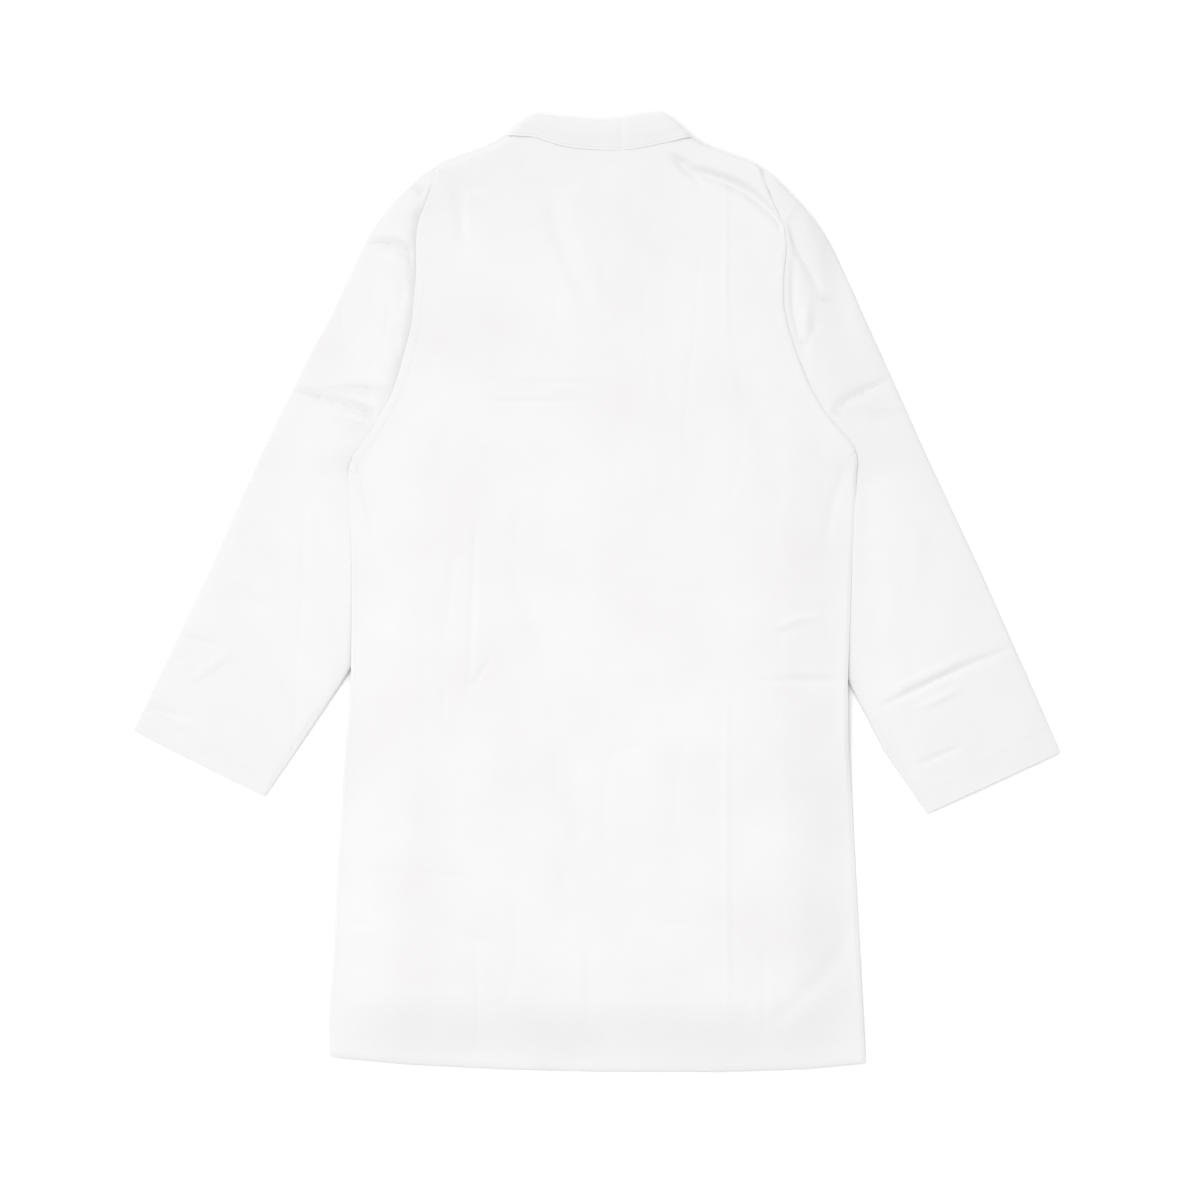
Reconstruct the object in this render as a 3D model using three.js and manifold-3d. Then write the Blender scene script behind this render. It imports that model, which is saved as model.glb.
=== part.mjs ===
// A lab coat lying on its front, back uppermost and sleeves spread, as an assembly of its cut pieces.
// Units are millimetres. +X is the wearer's right, +Y runs from the hem to the collar and +Z is up.
// Flat outlines are drawn for the wearer's right half and mirrored for the left one. Their heights
// count from the high shoulder point, where the shoulder seam meets the neckline.

import * as THREE from "three";
import { mergeVertices } from "three/addons/utils/BufferGeometryUtils.js";
import Module from "manifold-3d";

const wasm = await Module();
wasm.setup();

// Cloth, and the clearance between plies that lie on each other.
const CLOTH = 0.8;
const INTERLINING = 0.3;
const GAP = 0.3;
const PLY = CLOTH + GAP;

// Body, laid flat.
const BODY_LENGTH = 989;
const NECK_HALF = 88;
const NECK_DROP = 14;
const SHOULDER_HALF = 171;
const SHOULDER_DROP = 37;
const ACROSS_BACK_HALF = 192;
const ACROSS_BACK_DROP = 154;
const ARMPIT_DROP = 344;
const CHEST_HALF = 264;
const WAIST_HALF = 260;
const WAIST_DROP = 574;
const HEM_HALF = 283;
const HEM_RISE = 17;
const BODY_DEPTH = 17.1; // floor to the underside of the back
const SEAM_WIDTH = 1.2;
const SEAM_RIDGE = 0.8; // how far a felled armhole seam stands proud of the back
const HEM_DEPTH = 25;

// Front opening.
const OVERLAP = 20; // each front runs this far past the centre line
const BREAK_DROP = 269; // where the lapel starts to turn back
const FACING_WIDTH = 70;
const GORGE_DROP = 59; // where the seam of collar and lapel meets the roll line
const LAPEL_WIDTH = 134; // centre line to lapel point
const LAPEL_POINT_DROP = 84;
const NOTCH_HALF = 98;
const NOTCH_DROP = 74;
const COLLAR_POINT_HALF = 126;
const COLLAR_POINT_DROP = 59;

// Sleeves. Each lies at its own angle and is rucked by its own amount.
const SLEEVE_LIE = {
  left: { side: -1, length: 490, angle: 25.5 },
  right: { side: 1, length: 510, angle: 24.45 },
};
const SLEEVE_DEPTH = 8;
const FOLD_OUT = 4; // from the armpit out to the line that the sleeve folds over
const ARM_TOP_OUT = 13; // from the armpit out to where the sleeve cap runs into the straight arm
const FOLD_HALF = CHEST_HALF + FOLD_OUT;
const ARM_TOP_HALF = CHEST_HALF + ARM_TOP_OUT;
const ARM_TOP_DROP = 188;
const UNDERARM_DROP = 579; // where the under edge of the sleeve comes out beside the body
const CUFF_WIDTH = 154;

// Collar.
const STAND_HALF = 67;
const STAND_RISE = 15; // top of the stand above the high shoulder point
const FALL_HALF = 94;
const FALL_TOP_HALF = 67;
const FALL_RISE = 20;
const FALL_DIP = 4;
const FALL_END_DROP = 7;
const FALL_DROP = 20;

// Pockets.
const HIP_POCKET = { inner: 70, drop: 594, width: 175, height: 200 };
const CHEST_POCKET = { inner: 75, drop: 249, width: 115, height: 135 };
const POCKET_CORNER = 14;
const POCKET_HEM = 25;

// Buttons down the centre line.
const BUTTON_COUNT = 5;
const FIRST_BUTTON_DROP = 289;
const BUTTON_PITCH = 118;
const BUTTON_RADIUS = 9.5;
const BUTTON_THICKNESS = 2.5;
const BUTTON_RIM = 2.4;
const BUTTON_RECESS = 0.7;
const BUTTON_HOLE_RADIUS = 0.85;
const BUTTON_HOLE_OFFSET = 1.15;
const THREAD_RADIUS = 0.55;
const SHANK_RADIUS = 1.9;
const BUTTONHOLE_LENGTH = 22;
const BUTTONHOLE_WIDTH = 4.4;

// Inside the neck.
const TAPE_WIDTH = 14;
const LABEL_WIDTH = 60;
const LABEL_HEIGHT = 40;
const LOOP_SPAN = 50;
const LOOP_DEPTH = 5.6;
const LOOP_WIDTH = 7;

// Levels of the plies, counted up from the pocket mouth.
const LEFT_LAPEL_Z = 4.6;
const LEFT_FRONT_Z = LEFT_LAPEL_Z + PLY;
const LEFT_FACING_Z = LEFT_FRONT_Z + PLY;
const RIGHT_LAPEL_Z = LEFT_FACING_Z + PLY;
const RIGHT_FRONT_Z = RIGHT_LAPEL_Z + PLY;
const RIGHT_FACING_Z = RIGHT_FRONT_Z + PLY;
const TAPE_Z = BODY_DEPTH - PLY;
const COLLAR_Z = BODY_DEPTH + PLY;

const COTTON = { color: 0xf3f2f1, roughness: 0.9, metalness: 0 };
const SHADED_COTTON = { color: 0xe7e6e4, roughness: 0.92, metalness: 0 };
const TAPE_CLOTH = { color: 0xeeedeb, roughness: 0.85, metalness: 0 };
const BUTTON_RESIN = { color: 0xf6f5f2, roughness: 0.3, metalness: 0 };
const THREAD = { color: 0xfafafa, roughness: 0.7, metalness: 0 };

const coat = new THREE.Group();

function addPiece(name, geometry, look) {
  const piece = new THREE.Mesh(geometry, new THREE.MeshStandardMaterial(look));
  piece.name = name;
  coat.add(piece);
}

// Flat drawing.

const point = (x, y) => new THREE.Vector2(x, y);

function mirrored(points, side) {
  return points.map((p) => point(p.x * side, p.y));
}

// Moves an open line sideways by a distance, to the left of its direction.
function shifted(line, distance) {
  return line.map((p, i) => {
    const before = line[Math.max(i - 1, 0)];
    const after = line[Math.min(i + 1, line.length - 1)];
    const first = p.clone().sub(i > 0 ? before : p);
    const second = after.clone().sub(i < line.length - 1 ? p : after);
    const inDirection = (i > 0 ? first : second).normalize();
    const outDirection = (i < line.length - 1 ? second : first).normalize();
    const normal = point(-inDirection.y - outDirection.y, inDirection.x + outDirection.x);
    const mitre = distance / (1 + inDirection.dot(outDirection));
    return p.clone().addScaledVector(normal, mitre);
  });
}

function prism(points, bottom, top, holes = []) {
  const shape = new THREE.Shape(points);
  shape.holes = holes;
  const solid = new THREE.ExtrudeGeometry(shape, {
    depth: top - bottom,
    bevelEnabled: false,
    curveSegments: 5,
  });
  return solid.translate(0, 0, bottom);
}

function ply(points, level, holes) {
  return prism(points, level, level + CLOTH, holes);
}

// Booleans.

function toSolid(geometry) {
  const bare = geometry.clone();
  bare.deleteAttribute("normal");
  bare.deleteAttribute("uv");
  const merged = mergeVertices(bare, 1e-4);
  const mesh = new wasm.Mesh({
    numProp: 3,
    vertProperties: new Float32Array(merged.attributes.position.array),
    triVerts: new Uint32Array(merged.index.array),
  });
  return new wasm.Manifold(mesh);
}

function toGeometry(solid) {
  const mesh = solid.getMesh();
  const geometry = new THREE.BufferGeometry();
  geometry.setAttribute("position", new THREE.BufferAttribute(mesh.vertProperties, 3));
  geometry.setIndex(new THREE.BufferAttribute(mesh.triVerts, 1));
  geometry.computeVertexNormals();
  return geometry;
}

function cut(geometry, ...tools) {
  return toGeometry(tools.reduce((solid, tool) => solid.subtract(toSolid(tool)), toSolid(geometry)));
}

function join(geometry, ...others) {
  return toGeometry(others.reduce((solid, other) => solid.add(toSolid(other)), toSolid(geometry)));
}

function common(geometry, other) {
  return toGeometry(toSolid(geometry).intersect(toSolid(other)));
}

// Lines of the wearer's right half.

const ARMPIT = point(CHEST_HALF, -ARMPIT_DROP);
const SHOULDER_POINT = point(SHOULDER_HALF, -SHOULDER_DROP);
const HEM_CORNER = point(HEM_HALF, HEM_RISE - BODY_LENGTH);

// Armhole: nearly straight down to the narrowest part of the back, then round to the armpit.
function armholeLine() {
  const narrow = point(ACROSS_BACK_HALF, -ACROSS_BACK_DROP);
  const upper = new THREE.QuadraticBezierCurve(
    SHOULDER_POINT,
    point(ACROSS_BACK_HALF, -(SHOULDER_DROP + ACROSS_BACK_DROP) / 2),
    narrow,
  );
  const depth = ARMPIT_DROP - ACROSS_BACK_DROP;
  const reach = CHEST_HALF - ACROSS_BACK_HALF;
  const lower = new THREE.CubicBezierCurve(
    narrow,
    point(ACROSS_BACK_HALF, -ACROSS_BACK_DROP - depth * 0.47),
    point(ACROSS_BACK_HALF + reach * 0.42, -ARMPIT_DROP + depth * 0.3),
    ARMPIT,
  );
  return [...upper.getPoints(5), ...lower.getPoints(9).slice(1)];
}

function sideLine() {
  const waist = point(WAIST_HALF, -WAIST_DROP);
  return new THREE.SplineCurve([ARMPIT, waist, HEM_CORNER]).getPoints(12);
}

function hemLine(endX) {
  const end = point(endX, -BODY_LENGTH);
  const control = point(HEM_HALF / 2, -BODY_LENGTH);
  return new THREE.QuadraticBezierCurve(HEM_CORNER, control, end).getPoints(8);
}

function necklineLine() {
  const half = new THREE.EllipseCurve(0, 0, NECK_HALF, NECK_DROP, Math.PI, 2 * Math.PI);
  return half.getPoints(12);
}

function outerLine(endX) {
  return [
    point(NECK_HALF, 0),
    ...armholeLine(),
    ...sideLine().slice(1),
    ...hemLine(endX).slice(1),
  ];
}

// Roll line of the lapel, from the break up to the high shoulder point.
function rollPoint(drop) {
  const along = (BREAK_DROP - drop) / BREAK_DROP;
  return point(-OVERLAP + along * (NECK_HALF + OVERLAP), -drop);
}

function strip(line, width) {
  return [...line, ...shifted(line, width).reverse()];
}

// Body panels.

function backPanel() {
  const right = outerLine(0);
  const left = mirrored(right, -1).reverse();
  const outline = [...right, ...left.slice(1), ...necklineLine().slice(1, -1)];
  return ply(outline, BODY_DEPTH);
}

function buttonDrops() {
  return Array.from({ length: BUTTON_COUNT }, (_, i) => FIRST_BUTTON_DROP + i * BUTTON_PITCH);
}

// Slits for the buttons, running from the button away from the edge.
function buttonholes() {
  const half = BUTTONHOLE_WIDTH / 2;
  const start = half;
  const end = half - BUTTONHOLE_LENGTH + BUTTONHOLE_WIDTH;
  return buttonDrops().map((drop) => {
    const hole = new THREE.Path();
    hole.absarc(start - half, -drop, half, -Math.PI / 2, Math.PI / 2);
    hole.absarc(end - half, -drop, half, Math.PI / 2, (3 * Math.PI) / 2);
    hole.closePath();
    return hole;
  });
}

function frontPanel(side, level, holes) {
  const outline = [...outerLine(-OVERLAP), rollPoint(BREAK_DROP)];
  return ply(mirrored(outline, side), level, holes);
}

function frontFacing(side, level, holes) {
  const inner = FACING_WIDTH - OVERLAP;
  const shoulder = NECK_HALF + (SHOULDER_HALF - NECK_HALF) / 3;
  const seam = 2 * SEAM_WIDTH; // room for the shoulder seam
  const foot = HEM_DEPTH + HEM_RISE / 4 - BODY_LENGTH; // clear of the curved hem
  const outline = [
    point(-OVERLAP, foot),
    point(inner, foot),
    point(inner, -BREAK_DROP - FACING_WIDTH),
    point(shoulder, -SHOULDER_DROP / 3 - seam),
    point(NECK_HALF - seam, -seam),
    rollPoint(BREAK_DROP),
  ];
  return ply(mirrored(outline, side), level, holes);
}

function lapel(side, level) {
  const shape = new THREE.Shape();
  const gorge = rollPoint(GORGE_DROP);
  const start = rollPoint(BREAK_DROP);
  shape.moveTo(start.x, start.y);
  shape.quadraticCurveTo(LAPEL_WIDTH - 34, -BREAK_DROP + 75, LAPEL_WIDTH, -LAPEL_POINT_DROP);
  shape.lineTo(NOTCH_HALF, -NOTCH_DROP);
  shape.lineTo(gorge.x, gorge.y);
  return ply(mirrored(shape.getPoints(10), side), level);
}

// Front end of the collar, turned over the neck edge of the front and sewn to the lapel.
function collarPoint(side, level) {
  const seam = 3; // seam line between collar and lapel
  const outline = [
    rollPoint(GORGE_DROP - seam),
    point(NOTCH_HALF + seam, -NOTCH_DROP + seam),
    point(COLLAR_POINT_HALF, -COLLAR_POINT_DROP),
    point(NECK_HALF + 10, -FALL_END_DROP),
    point(NECK_HALF, 0),
  ];
  return ply(mirrored(outline, side), level);
}

function sideSeam(side, level) {
  const outline = strip(sideLine(), -SEAM_WIDTH);
  return prism(mirrored(outline, side), level, BODY_DEPTH - GAP);
}

function shoulderSeam(side, level) {
  const outline = strip([point(NECK_HALF, 0), SHOULDER_POINT], -SEAM_WIDTH);
  return prism(mirrored(outline, side), level, BODY_DEPTH - GAP);
}

// Hem line from just inside the side seam, which leans in above the hem.
function hemInside(endX) {
  const lean = (HEM_HALF - WAIST_HALF) / (BODY_LENGTH - WAIST_DROP);
  const line = hemLine(endX);
  line[0] = point(HEM_HALF - SEAM_WIDTH - 2 * GAP - 2 * lean * HEM_DEPTH, line[0].y);
  return line;
}

function bodyHem(side, fromX, level) {
  const line = hemInside(fromX);
  const top = mirrored(line, side).reverse();
  const bottom = top.map((p) => point(p.x, p.y + HEM_DEPTH));
  return ply([...top, ...bottom.reverse()], level);
}

function backHem() {
  const right = hemInside(0);
  const line = [...right, ...mirrored(right, -1).reverse().slice(1)];
  const upper = line.map((p) => point(p.x, p.y + HEM_DEPTH)).reverse();
  return ply([...line, ...upper], TAPE_Z);
}

// Sleeves.

// Depth of the sleeve head: it lies flat at the fold line and opens to the body's depth at the armhole.
function slopeHead(geometry, frontLevel) {
  const position = geometry.attributes.position;
  for (let i = 0; i < position.count; i += 1) {
    const toArmhole = (FOLD_HALF - Math.abs(position.getX(i))) / (FOLD_HALF - SHOULDER_HALF);
    const bottom = toArmhole * frontLevel;
    const top = SLEEVE_DEPTH + toArmhole * (BODY_DEPTH + CLOTH - SLEEVE_DEPTH);
    const height = position.getZ(i) / SLEEVE_DEPTH;
    position.setZ(i, bottom + height * (top - bottom));
  }
  return geometry;
}

function headTop(x) {
  const toArmhole = (FOLD_HALF - x) / (FOLD_HALF - SHOULDER_HALF);
  return SLEEVE_DEPTH + toArmhole * (BODY_DEPTH + CLOTH - SLEEVE_DEPTH);
}

// Plan of a sleeve as its outer edge, its cuff line and its under edge.
function sleeveLines(lie) {
  const angle = THREE.MathUtils.degToRad(lie.angle);
  const down = point(Math.sin(angle), -Math.cos(angle));
  const across = point(-Math.cos(angle), -Math.sin(angle));
  const armTop = point(ARM_TOP_HALF, -ARM_TOP_DROP);
  const cuffOuter = armTop.clone().addScaledVector(down, lie.length);
  const cuffInner = cuffOuter.clone().addScaledVector(across, CUFF_WIDTH);
  const cap = new THREE.QuadraticBezierCurve(
    SHOULDER_POINT,
    point((SHOULDER_HALF + 2 * ARM_TOP_HALF) / 3 - 4, -(SHOULDER_DROP + ARM_TOP_DROP) / 2 + 28),
    armTop,
  );
  const outer = [shifted(armholeLine(), GAP)[0], ...cap.getPoints(8).slice(1), cuffOuter];
  const seamX = FOLD_HALF + GAP / 2;
  const under = [
    cuffInner,
    point(seamX, -UNDERARM_DROP),
    point(seamX, -ARMPIT_DROP - 4),
    point(CHEST_HALF + GAP, -ARMPIT_DROP - 4),
  ];
  return { down, across, outer, under, cuffOuter, cuffInner };
}

function sleeveTube(lie) {
  const { down, outer, under } = sleeveLines(lie);
  const armhole = shifted(armholeLine(), GAP).slice(1).reverse();
  const outline = [...outer, ...under, ...armhole];
  const outerInside = shifted(outer, -CLOTH);
  const underInside = shifted(under, -CLOTH);
  const past = SLEEVE_DEPTH;
  const cavity = [
    ...outerInside,
    outerInside.at(-1).clone().addScaledVector(down, past),
    underInside[0].clone().addScaledVector(down, past),
    ...underInside,
    ...shifted(armholeLine(), -past).reverse().slice(1),
  ];
  const tube = prism(mirrored(outline, lie.side), 0, SLEEVE_DEPTH);
  return cut(tube, prism(mirrored(cavity, lie.side), CLOTH, SLEEVE_DEPTH - CLOTH));
}

function beyond(x, side) {
  const outline = [point(x, 0), point(2 * x, 0), point(2 * x, -BODY_LENGTH), point(x, -BODY_LENGTH)];
  return prism(mirrored(outline, side), -SLEEVE_DEPTH, 2 * SLEEVE_DEPTH);
}

function cuffZone(lie, depth) {
  const { down, across, cuffOuter, cuffInner } = sleeveLines(lie);
  const past = SLEEVE_DEPTH;
  const outline = [
    cuffOuter.clone().addScaledVector(across, -past).addScaledVector(down, -depth),
    cuffInner.clone().addScaledVector(across, past).addScaledVector(down, -depth),
    cuffInner.clone().addScaledVector(across, past).addScaledVector(down, past),
    cuffOuter.clone().addScaledVector(across, -past).addScaledVector(down, past),
  ];
  return prism(mirrored(outline, lie.side), -SLEEVE_DEPTH, 2 * SLEEVE_DEPTH);
}

function between(bottom, top) {
  const outline = [
    point(-BODY_LENGTH, BODY_LENGTH), point(-BODY_LENGTH, -2 * BODY_LENGTH),
    point(BODY_LENGTH, -2 * BODY_LENGTH), point(BODY_LENGTH, BODY_LENGTH),
  ];
  return prism(outline, bottom, top);
}

// A sleeve is cut as an upper and an under sleeve, which meet along both edges of the arm.
function addSleeve(name, lie, frontLevel) {
  const middle = SLEEVE_DEPTH / 2;
  const tube = sleeveTube(lie);
  const head = cut(tube, beyond(FOLD_HALF - GAP / 2, lie.side));
  const arm = common(tube, beyond(FOLD_HALF + GAP / 2, lie.side));
  addPiece(`${name}_sleeve_head`, slopeHead(head, frontLevel), COTTON);
  const sleeve = cut(arm, cuffZone(lie, HEM_DEPTH + GAP));
  addPiece(`${name}_sleeve`, common(sleeve, between(middle + GAP / 2, 2 * SLEEVE_DEPTH)), COTTON);
  addPiece(`${name}_under_sleeve`, common(sleeve, between(-SLEEVE_DEPTH, middle - GAP / 2)), COTTON);
  addPiece(`${name}_sleeve_hem`, common(arm, cuffZone(lie, HEM_DEPTH)), SHADED_COTTON);
  addPiece(`${name}_armhole_seam`, armholeSeam(lie.side), SHADED_COTTON);
}

// Felled seam from the edge of the back down to the sleeve head.
function armholeSeam(side) {
  const line = armholeLine();
  const outline = strip(shifted(line, GAP), SEAM_WIDTH);
  const top = BODY_DEPTH + CLOTH + SEAM_RIDGE;
  const seam = prism(mirrored(outline, side), 0, 1);
  const position = seam.attributes.position;
  for (let i = 0; i < position.count; i += 1) {
    const foot = Math.min(headTop(Math.abs(position.getX(i))) + GAP, BODY_DEPTH + CLOTH + GAP);
    position.setZ(i, foot + position.getZ(i) * (top - foot));
  }
  seam.computeVertexNormals();
  return seam;
}

// Collar.

function collarStand() {
  const neckline = necklineLine().map((p) => point(p.x * (1 - 4 / NECK_HALF), p.y + GAP));
  const top = [point(STAND_HALF, STAND_RISE), point(-STAND_HALF, STAND_RISE)];
  return ply([...neckline, ...top], BODY_DEPTH);
}

function collarFall(inset, level, thickness) {
  const bottom = new THREE.QuadraticBezierCurve(
    point(-FALL_HALF + inset, -FALL_END_DROP + inset),
    point(0, -2 * FALL_DROP + FALL_END_DROP + inset),
    point(FALL_HALF - inset, -FALL_END_DROP + inset),
  );
  const top = new THREE.QuadraticBezierCurve(
    point(FALL_TOP_HALF - inset, FALL_RISE - inset),
    point(0, FALL_RISE - 2 * FALL_DIP - inset),
    point(-FALL_TOP_HALF + inset, FALL_RISE - inset),
  );
  return prism([...bottom.getPoints(10), ...top.getPoints(8)], level, level + thickness);
}

// Inside the neck.

function neckTape() {
  const line = necklineLine();
  const lower = line.map((p) => point(p.x * 0.96, p.y - TAPE_WIDTH)).reverse();
  const inset = SEAM_WIDTH + GAP;
  return ply([...line.map((p) => point(p.x * 0.96, p.y - inset)), ...lower], TAPE_Z);
}

function sizeLabel() {
  const top = -NECK_DROP - TAPE_WIDTH - GAP - SEAM_WIDTH;
  const half = LABEL_WIDTH / 2;
  const outline = [
    point(-half, top),
    point(half, top),
    point(half, top - LABEL_HEIGHT),
    point(-half, top - LABEL_HEIGHT),
  ];
  return prism(outline, BODY_DEPTH - GAP - INTERLINING, BODY_DEPTH - GAP);
}

// A tape bowed away from the neck, so that a peg passes behind it.
function hangerLoop() {
  const half = LOOP_SPAN / 2;
  const foot = 6;
  const arc = new THREE.CubicBezierCurve(
    point(-half + foot, 0),
    point(-half + foot, -LOOP_DEPTH),
    point(-half + foot, -LOOP_DEPTH),
    point(-half + 2 * foot, -LOOP_DEPTH),
  );
  const leftLine = [point(-half, 0), ...arc.getPoints(5)];
  const line = [...leftLine, ...mirrored(leftLine, -1).reverse()];
  const solid = prism(strip(line, -CLOTH), 0, LOOP_WIDTH);
  solid.rotateX(Math.PI / 2);
  const middle = -NECK_DROP - SEAM_WIDTH - TAPE_WIDTH / 2;
  return solid.translate(0, middle + LOOP_WIDTH / 2, TAPE_Z - GAP);
}

// Pockets.

// A tray under the front: its floor is the pocket's cloth, and the front closes it.
function pocketTray(low, high, corner, depth, openBottom) {
  const ring = (inset) => [
    point(low.x + inset, high.y + (inset > 0 ? POCKET_HEM : 0)),
    point(low.x + inset, low.y + corner + (openBottom ? -inset * 4 : inset)),
    point(low.x + corner + inset, low.y + (openBottom ? -inset * 4 : inset)),
    point(high.x - corner - inset, low.y + (openBottom ? -inset * 4 : inset)),
    point(high.x - inset, low.y + corner + (openBottom ? -inset * 4 : inset)),
    point(high.x - inset, high.y + (inset > 0 ? POCKET_HEM : 0)),
  ];
  return cut(prism(ring(0), 0, depth), prism(ring(CLOTH), CLOTH, 2 * depth));
}

function addPocket(name, side, size, frontLevel) {
  const inner = side * size.inner;
  const outer = side * (size.inner + size.width);
  const lowX = Math.min(inner, outer);
  const highX = Math.max(inner, outer);
  const mouth = -size.drop;
  const floor = mouth - size.height;
  const depth = frontLevel - GAP;
  const bag = pocketTray(
    point(lowX, floor),
    point(highX, mouth - POCKET_HEM - GAP),
    POCKET_CORNER,
    depth,
    false,
  );
  const hem = pocketTray(point(lowX, mouth - POCKET_HEM), point(highX, mouth), 0, depth, true);
  addPiece(name, bag, COTTON);
  addPiece(`${name}_hem`, hem, SHADED_COTTON);
}

// Buttons.

function spot(x, y, radius, bottom, top, sides) {
  const peg = new THREE.CylinderGeometry(radius, radius, top - bottom, sides);
  return peg.rotateX(Math.PI / 2).translate(x, y, (bottom + top) / 2);
}

function buttonCorners() {
  const offset = BUTTON_HOLE_OFFSET;
  return [point(offset, offset), point(-offset, offset), point(-offset, -offset), point(offset, -offset)];
}

// Disc with a raised rim on its outer face, which looks down.
function button(drop) {
  const top = LEFT_FRONT_Z - GAP;
  const bottom = top - BUTTON_THICKNESS;
  const profile = [
    point(0, bottom + BUTTON_RECESS),
    point(BUTTON_RADIUS - BUTTON_RIM, bottom + BUTTON_RECESS),
    point(BUTTON_RADIUS - BUTTON_RIM * 0.6, bottom),
    point(BUTTON_RADIUS - BUTTON_RIM * 0.2, bottom),
    point(BUTTON_RADIUS, bottom + BUTTON_RECESS),
    point(BUTTON_RADIUS, top - BUTTON_RECESS),
    point(BUTTON_RADIUS - BUTTON_RECESS, top),
    point(0, top),
  ];
  const disc = new THREE.LatheGeometry(profile, 20).rotateX(Math.PI / 2);
  const holes = buttonCorners().map((p) => spot(p.x, p.y, BUTTON_HOLE_RADIUS, 0, 2 * top, 6));
  return cut(disc, ...holes).translate(0, -drop, 0);
}

// Four strands through the button, crossed over its face and bound into a shank behind it.
function buttonThread(drop) {
  const back = LEFT_FRONT_Z - GAP;
  const face = back - BUTTON_THICKNESS + BUTTON_RECESS - GAP;
  const shankFoot = back + GAP;
  const strands = buttonCorners().map((p) => {
    return spot(p.x, p.y, THREAD_RADIUS, face - THREAD_RADIUS, shankFoot + GAP, 6);
  });
  const length = 2 * (BUTTON_HOLE_OFFSET + THREAD_RADIUS);
  const bars = [-1, 1].map((side) => {
    const bar = new THREE.BoxGeometry(length, 2 * THREAD_RADIUS, THREAD_RADIUS);
    return bar.translate(0, side * BUTTON_HOLE_OFFSET, face - THREAD_RADIUS / 2);
  });
  const crossing = new THREE.BoxGeometry(2 * THREAD_RADIUS, length, THREAD_RADIUS);
  crossing.translate(BUTTON_HOLE_OFFSET, 0, face - THREAD_RADIUS / 2);
  const shank = spot(0, 0, SHANK_RADIUS, shankFoot, RIGHT_FRONT_Z - GAP, 10);
  return join(shank, ...strands, ...bars, crossing).translate(0, -drop, 0);
}

// Assembly.

addPiece("back_panel", backPanel(), COTTON);
addPiece("left_front", frontPanel(-1, LEFT_FRONT_Z, buttonholes()), COTTON);
addPiece("right_front", frontPanel(1, RIGHT_FRONT_Z), COTTON);
addPiece("left_front_facing", frontFacing(-1, LEFT_FACING_Z, buttonholes()), SHADED_COTTON);
addPiece("right_front_facing", frontFacing(1, RIGHT_FACING_Z), SHADED_COTTON);
addPiece("left_lapel", lapel(-1, LEFT_LAPEL_Z), COTTON);
addPiece("right_lapel", lapel(1, RIGHT_LAPEL_Z), COTTON);
addPiece("left_collar_point", collarPoint(-1, LEFT_LAPEL_Z), COTTON);
addPiece("right_collar_point", collarPoint(1, RIGHT_LAPEL_Z), COTTON);
addPiece("left_side_seam", sideSeam(-1, LEFT_FACING_Z), SHADED_COTTON);
addPiece("right_side_seam", sideSeam(1, RIGHT_FACING_Z), SHADED_COTTON);
addPiece("left_shoulder_seam", shoulderSeam(-1, LEFT_FACING_Z), SHADED_COTTON);
addPiece("right_shoulder_seam", shoulderSeam(1, RIGHT_FACING_Z), SHADED_COTTON);
addPiece("left_front_hem", bodyHem(-1, -OVERLAP, LEFT_FACING_Z), SHADED_COTTON);
addPiece("right_front_hem", bodyHem(1, -OVERLAP, RIGHT_FACING_Z), SHADED_COTTON);
addPiece("back_hem", backHem(), SHADED_COTTON);

addSleeve("left", SLEEVE_LIE.left, LEFT_FRONT_Z);
addSleeve("right", SLEEVE_LIE.right, RIGHT_FRONT_Z);

addPiece("collar_stand", collarStand(), SHADED_COTTON);
addPiece("under_collar", collarFall(0, COLLAR_Z, CLOTH), COTTON);
addPiece("collar_interlining", collarFall(4, COLLAR_Z + PLY, INTERLINING), TAPE_CLOTH);
addPiece("upper_collar", collarFall(0, COLLAR_Z + PLY + INTERLINING + GAP, CLOTH), COTTON);

addPiece("neck_tape", neckTape(), TAPE_CLOTH);
addPiece("size_label", sizeLabel(), TAPE_CLOTH);
addPiece("hanger_loop", hangerLoop(), TAPE_CLOTH);

addPocket("left_hip_pocket", -1, HIP_POCKET, LEFT_FRONT_Z);
addPocket("right_hip_pocket", 1, HIP_POCKET, RIGHT_FRONT_Z);
addPocket("chest_pocket", -1, CHEST_POCKET, LEFT_FRONT_Z);

buttonDrops().forEach((drop, i) => {
  addPiece(`button_${i + 1}`, button(drop), BUTTON_RESIN);
  addPiece(`button_thread_${i + 1}`, buttonThread(drop), THREAD);
});

// The origin is the middle of the coat's box, on the floor.
const box = new THREE.Box3().setFromObject(coat);
const middle = box.getCenter(new THREE.Vector3());
coat.position.set(-middle.x, -middle.y, -box.min.z);

export default coat;
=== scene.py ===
"""A laid-out lab coat: its cloth pieces, seams, stitching, finishes and studio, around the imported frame."""

import math

import bmesh
import bpy
import numpy as np
from mathutils import Matrix, Vector


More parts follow.
